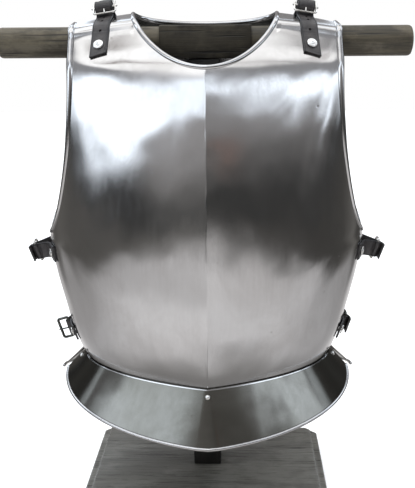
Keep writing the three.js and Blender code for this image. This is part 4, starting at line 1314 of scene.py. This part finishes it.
def make_base():
    mesh = bmesh.new()
    low = BASE_THICKNESS - BASE_STEP
    verts = bmesh.ops.create_cube(mesh, size=1.0)["verts"]
    bmesh.ops.scale(mesh, vec=(BASE_WIDTH, BASE_DEPTH, low), verts=verts)
    bmesh.ops.translate(mesh, vec=(0.0, 0.0, low / 2), verts=verts)
    upright = [edge for edge in mesh.edges if abs(edge.verts[0].co.z - edge.verts[1].co.z) > 1]
    bevel(mesh, upright, BASE_CORNER, 1)
    top = [face for face in mesh.faces if face.normal.z > 0.9]
    bmesh.ops.inset_region(mesh, faces=top, thickness=3.0, use_even_offset=True)
    bmesh.ops.inset_region(mesh, faces=top, thickness=BASE_INSET - 4.5, depth=0.0, use_even_offset=True)
    bmesh.ops.inset_region(mesh, faces=top, thickness=1.5, depth=BASE_STEP, use_even_offset=True)
    rims = [edge for edge in mesh.edges if edge.calc_face_angle(0.0) > math.radians(40)
            and abs(edge.verts[0].co.z - edge.verts[1].co.z) < 0.5 and edge.verts[0].co.z > 1]
    bevel(mesh, rims, 2.2, 4, clamp=True)
    bmesh.ops.rotate(mesh, cent=(0, 0, 0), matrix=Matrix.Rotation(STAND_TWIST, 3, "Z"), verts=mesh.verts[:])
    finish_piece(mesh, "base_wood", ["base_board"], BASE_WOOD, 30.0)


make_crossbar()
make_post()
make_base()


# Studio: pale floor, soft lights and the camera


def make_floor():
    mesh = bmesh.new()
    bmesh.ops.create_grid(mesh, x_segments=1, y_segments=1, size=1.0)
    bmesh.ops.scale(mesh, vec=(1.9, 5.0, 1.0), verts=mesh.verts[:])
    bmesh.ops.translate(mesh, vec=(0.0, 1.0, 0.0), verts=mesh.verts[:])
    data = bpy.data.meshes.new("floor")
    mesh.to_mesh(data)
    mesh.free()
    floor = bpy.data.objects.new("floor", data)
    bpy.context.scene.collection.objects.link(floor)
    material, tree, shader = new_material("floor_paper")
    place = new_node(tree, "ShaderNodeTexCoord").outputs["Object"]
    link(tree, blend_colour(tree, add_noise(tree, place, 3.0), (0.8, 0.8, 0.8), (0.83, 0.83, 0.83)),
         shader.inputs["Base Color"])
    shader.inputs["Roughness"].default_value = 0.9
    shader.inputs["Emission Color"].default_value = (1.0, 1.0, 1.0, 1.0)
    seen = new_node(tree, "ShaderNodeLightPath").outputs["Is Camera Ray"]
    link(tree, remap(tree, seen, 0.0, 1.0, 0.1, 0.5), shader.inputs["Emission Strength"])
    data.materials.append(material)
    floor.visible_glossy = False


def add_soft_light(name, place, target, size, power, colour):
    data = bpy.data.lights.new(name, "AREA")
    data.shape = "RECTANGLE"
    data.size, data.size_y = size
    data.energy = power
    data.color = colour
    lamp = bpy.data.objects.new(name, data)
    lamp.visible_glossy = False
    lamp.location = place
    lamp.rotation_euler = (Vector(target) - Vector(place)).to_track_quat("-Z", "Y").to_euler()
    bpy.context.scene.collection.objects.link(lamp)


# What the steel mirrors, painted from the ground up. Each layer covers what lies above its edge:
# how soft the edge is in degrees, the layer's tint, then azimuth from the front (right is positive),
# elevation of the edge and tone.
NEAR_FLOOR_TONE = 0.32
ROOM_SPAN = 240
ROOM_LAYERS = (
    (6.0, (1.0, 0.985, 0.99), (
        (-120, -46, 0.55), (-90, -47, 0.62), (-60, -47, 0.92), (-25, -42, 1.0), (20, -41, 0.9),
        (60, -46, 0.84), (90, -48, 0.6), (120, -46, 0.5))),
    (8.0, (1.0, 0.98, 0.98), (
        (-120, -28, 0.45), (-95, -30, 0.44), (-75, -27, 0.58), (-50, -24, 0.66), (-25, -24, 0.74),
        (20, -22, 0.88), (40, -24, 0.8), (65, -27, 0.72), (85, -28, 0.5), (120, -28, 0.4))),
    (4.5, (1.04, 1.0, 0.94), (
        (-120, -17, 0.16), (-100, -22, 0.13), (-85, -21, 0.12), (-72, -16, 0.12), (-60, -10.5, 0.12),
        (-48, -5.5, 0.13), (-36, -2.5, 0.15), (-20, -1, 0.15), (20, -2, 0.08), (30, -3.5, 0.08),
        (40, -6, 0.08), (50, -9, 0.08), (60, -12, 0.075), (72, -17, 0.07), (85, -20, 0.07), (100, -22, 0.08),
        (120, -17, 0.16))),
    (2.5, (1.0, 1.0, 0.98), (
        (-120, 4, 0.13), (-95, 0, 0.06), (-75, 1, 0.042), (-50, 2, 0.048), (-36, 3, 0.08), (-20, 3, 0.1),
        (20, 3, 0.06), (50, 2, 0.055), (80, 0, 0.055), (120, 4, 0.1))),
    (5.0, (1.02, 0.99, 0.97), (
        (-120, 16, 0.1), (-60, 12, 0.1), (-45, 12, 0.2), (-35, 11, 0.24), (-20, 11, 0.22),
        (20, 19, 0.19), (40, 18, 0.19), (60, 9, 0.17), (75, 6, 0.15), (120, 16, 0.08))),
    (7.0, (1.0, 0.975, 0.985), (
        (-120, 40, 0.2), (-60, 22, 0.42), (-35, 19, 0.45), (-20, 19, 0.42),
        (20, 27, 0.36), (45, 25, 0.36), (60, 17, 0.36), (80, 11, 0.36), (120, 40, 0.12))),
    (3.2, (0.9, 0.98, 1.08), (
        (-120, 24, 2.0), (-106, 26, 1.8), (-98, 14, 1.0), (-90, 6.5, 1.5), (-80, 9, 2.4), (-68, 10, 2.5),
        (-60, 11.5, 2.5), (-52, 15, 2.4), (-46, 20, 2.3), (-40, 26, 2.1), (-36, 31, 2.0), (-32, 38, 1.9),
        (-22, 41, 1.8), (24, 51, 1.9), (30, 45.5, 2.0), (36, 41.5, 2.2), (45, 36, 2.3), (52, 29, 2.4),
        (60, 22.5, 2.4), (70, 17, 2.4), (80, 11, 2.2), (90, 8, 1.3), (98, 18, 1.0), (106, 28, 1.8),
        (120, 26, 2.0))),
    (2.2, (0.97, 0.98, 1.03), (
        (-120, 88, 1.6), (-104, 70, 0.8), (-92, 15, 0.35), (-80, 19, 0.4), (-70, 27, 0.4), (-62, 35, 0.36),
        (-55, 38, 0.36), (-50, 40, 0.38), (-45, 44, 0.5), (-39, 49, 0.8), (-34, 53, 1.0), (-22, 60, 1.3),
        (24, 55, 0.5), (34, 52, 0.4), (40, 48, 0.38), (46, 43, 0.38), (52, 39, 0.4), (60, 35, 0.42),
        (67, 31, 0.42), (75, 24, 0.42), (88, 16, 0.36), (104, 70, 0.8), (120, 88, 1.6))),
    (3.0, (1.0, 1.0, 1.0), (
        (-120, 88, 2.0), (-95, 44, 1.9), (-75, 46, 1.8), (-60, 47, 1.7), (-50, 50, 1.6), (-42, 55, 1.7),
        (-20, 64, 2.1), (24, 64, 2.1), (45, 60, 1.6), (60, 62, 1.2), (72, 52, 1.2), (80, 46, 1.6),
        (100, 44, 1.8), (120, 88, 2.0))),
)
# Dim things in the room: azimuth, elevation, half width, half height and tone.
ROOM_SPOTS = (
    (28.0, 23.0, 5.0, 4.0, (0.27, 0.2, 0.18)),
    (-71.5, 66.0, 4.0, 11.0, (0.3, 0.26, 0.24)),
    (-37.0, 53.0, 2.0, 5.0, (0.4, 0.41, 0.44)),
    (72.5, 60.0, 4.0, 11.0, (0.26, 0.25, 0.26)),
    (84.0, 56.0, 3.0, 5.0, (0.6, 0.55, 0.55)),
)


def layer_ramp(tree, azimuth, rows):
    """A layer's tone and the height of its edge, both by azimuth."""
    node = new_node(tree, "ShaderNodeValToRGB")
    link(tree, azimuth, node.inputs["Fac"])
    stops = node.color_ramp.elements
    for place in range(1, len(rows) - 1):
        stops.new(rows[place][0] / ROOM_SPAN + 0.5)
    for stop, (_, edge, tone) in zip(stops, rows):
        stop.color = (tone, tone, tone, edge / 180 + 0.5)
    return node.outputs["Color"], node.outputs["Alpha"]


def make_surroundings():
    """A dim room with soft patches of light, plain white where the camera looks straight at it."""
    world = bpy.data.worlds.new("studio")
    bpy.context.scene.world = world
    world.use_nodes = True
    tree = world.node_tree
    background = tree.nodes["Background"]
    direction = new_node(tree, "ShaderNodeTexCoord").outputs["Generated"]
    parts = new_node(tree, "ShaderNodeSeparateXYZ")
    link(tree, direction, parts.inputs["Vector"])
    ripple = remap(tree, add_noise(tree, direction, 4.0, 3.0), 0.3, 0.7, -0.014, 0.014)
    forward = maths(tree, "MULTIPLY", parts.outputs["Y"], -1.0)
    turn = maths(tree, "ARCTAN2", parts.outputs["X"], forward)
    ahead = maths(tree, "ABSOLUTE", turn)
    behind = maths(tree, "MULTIPLY", maths(tree, "SUBTRACT", math.pi, ahead), 2.0)
    folded = maths(tree, "MULTIPLY", maths(tree, "MINIMUM", ahead, behind), maths(tree, "SIGN", turn))
    azimuth = maths(tree, "ADD", maths(tree, "MULTIPLY", folded, 180 / ROOM_SPAN / math.pi), 0.5)
    azimuth = maths(tree, "ADD", azimuth, ripple)
    elevation = maths(tree, "MULTIPLY", maths(tree, "ARCSINE", parts.outputs["Z"]), 1 / math.pi)
    elevation = maths(tree, "ADD", maths(tree, "ADD", elevation, 0.5), ripple)
    room = (NEAR_FLOOR_TONE, NEAR_FLOOR_TONE * 0.98, NEAR_FLOOR_TONE * 0.96)
    for softness, tint, rows in ROOM_LAYERS:
        tone, edge = layer_ramp(tree, azimuth, rows)
        colour = blend_colour(tree, 1.0, tone, tint, "MULTIPLY")
        above = maths(tree, "SUBTRACT", elevation, edge)
        room = blend_colour(tree, remap(tree, above, -softness / 180, softness / 180), room, colour)
    for spot_azimuth, spot_elevation, half_width, half_height, colour in ROOM_SPOTS:
        across = maths(tree, "MULTIPLY_ADD", azimuth, ROOM_SPAN / half_width)
        across.node.inputs[2].default_value = -(spot_azimuth + ROOM_SPAN / 2) / half_width
        along = maths(tree, "MULTIPLY_ADD", elevation, 180 / half_height)
        along.node.inputs[2].default_value = -(spot_elevation + 90) / half_height
        away = maths(tree, "ADD", maths(tree, "MULTIPLY", across, across),
                     maths(tree, "MULTIPLY", along, along))
        room = blend_colour(tree, remap(tree, away, 0.4, 1.5, 1.0, 0.0), room, colour)
    seen = new_node(tree, "ShaderNodeLightPath").outputs["Is Camera Ray"]
    link(tree, blend_colour(tree, seen, room, (1.0, 1.0, 1.0)), background.inputs["Color"])


CAMERA_PLACE = (0.0, -1.05, 0.605)
SENSOR = 36.0
# In pixels of the picture: its height, the camera's focal length and how far it looks down
PICTURE_HEIGHT = 488
FOCAL_LENGTH = 803.4
LOOK_DOWN = 204


def make_camera():
    data = bpy.data.cameras.new("camera")
    data.sensor_fit = "VERTICAL"
    data.sensor_height = SENSOR
    data.lens = FOCAL_LENGTH / PICTURE_HEIGHT * SENSOR
    data.shift_x = 0.9 / PICTURE_HEIGHT
    camera = bpy.data.objects.new("camera", data)
    pitch = math.atan(LOOK_DOWN / FOCAL_LENGTH)
    turn = Matrix.Rotation(QUARTER - pitch, 4, "X") @ Matrix.Rotation(math.radians(-0.4), 4, "Z")
    camera.matrix_world = Matrix.Translation(CAMERA_PLACE) @ turn
    bpy.context.scene.collection.objects.link(camera)
    bpy.context.scene.camera = camera


make_floor()
make_surroundings()
add_soft_light("left_softbox", (-1.5, -0.9, 1.7), (-0.1, 0.0, 0.5), (0.9, 0.9), 5.0, (0.86, 0.93, 1.0))
add_soft_light("right_softbox", (1.5, -0.8, 1.6), (0.1, 0.0, 0.5), (0.7, 0.7), 3.0, (1.0, 0.97, 0.93))
add_soft_light("top_softbox", (0.0, -0.2, 2.2), (0.0, 0.0, 0.5), (1.2, 0.8), 12.0, (1.0, 1.0, 1.0))
make_camera()
bpy.context.scene.view_settings.view_transform = "Standard"
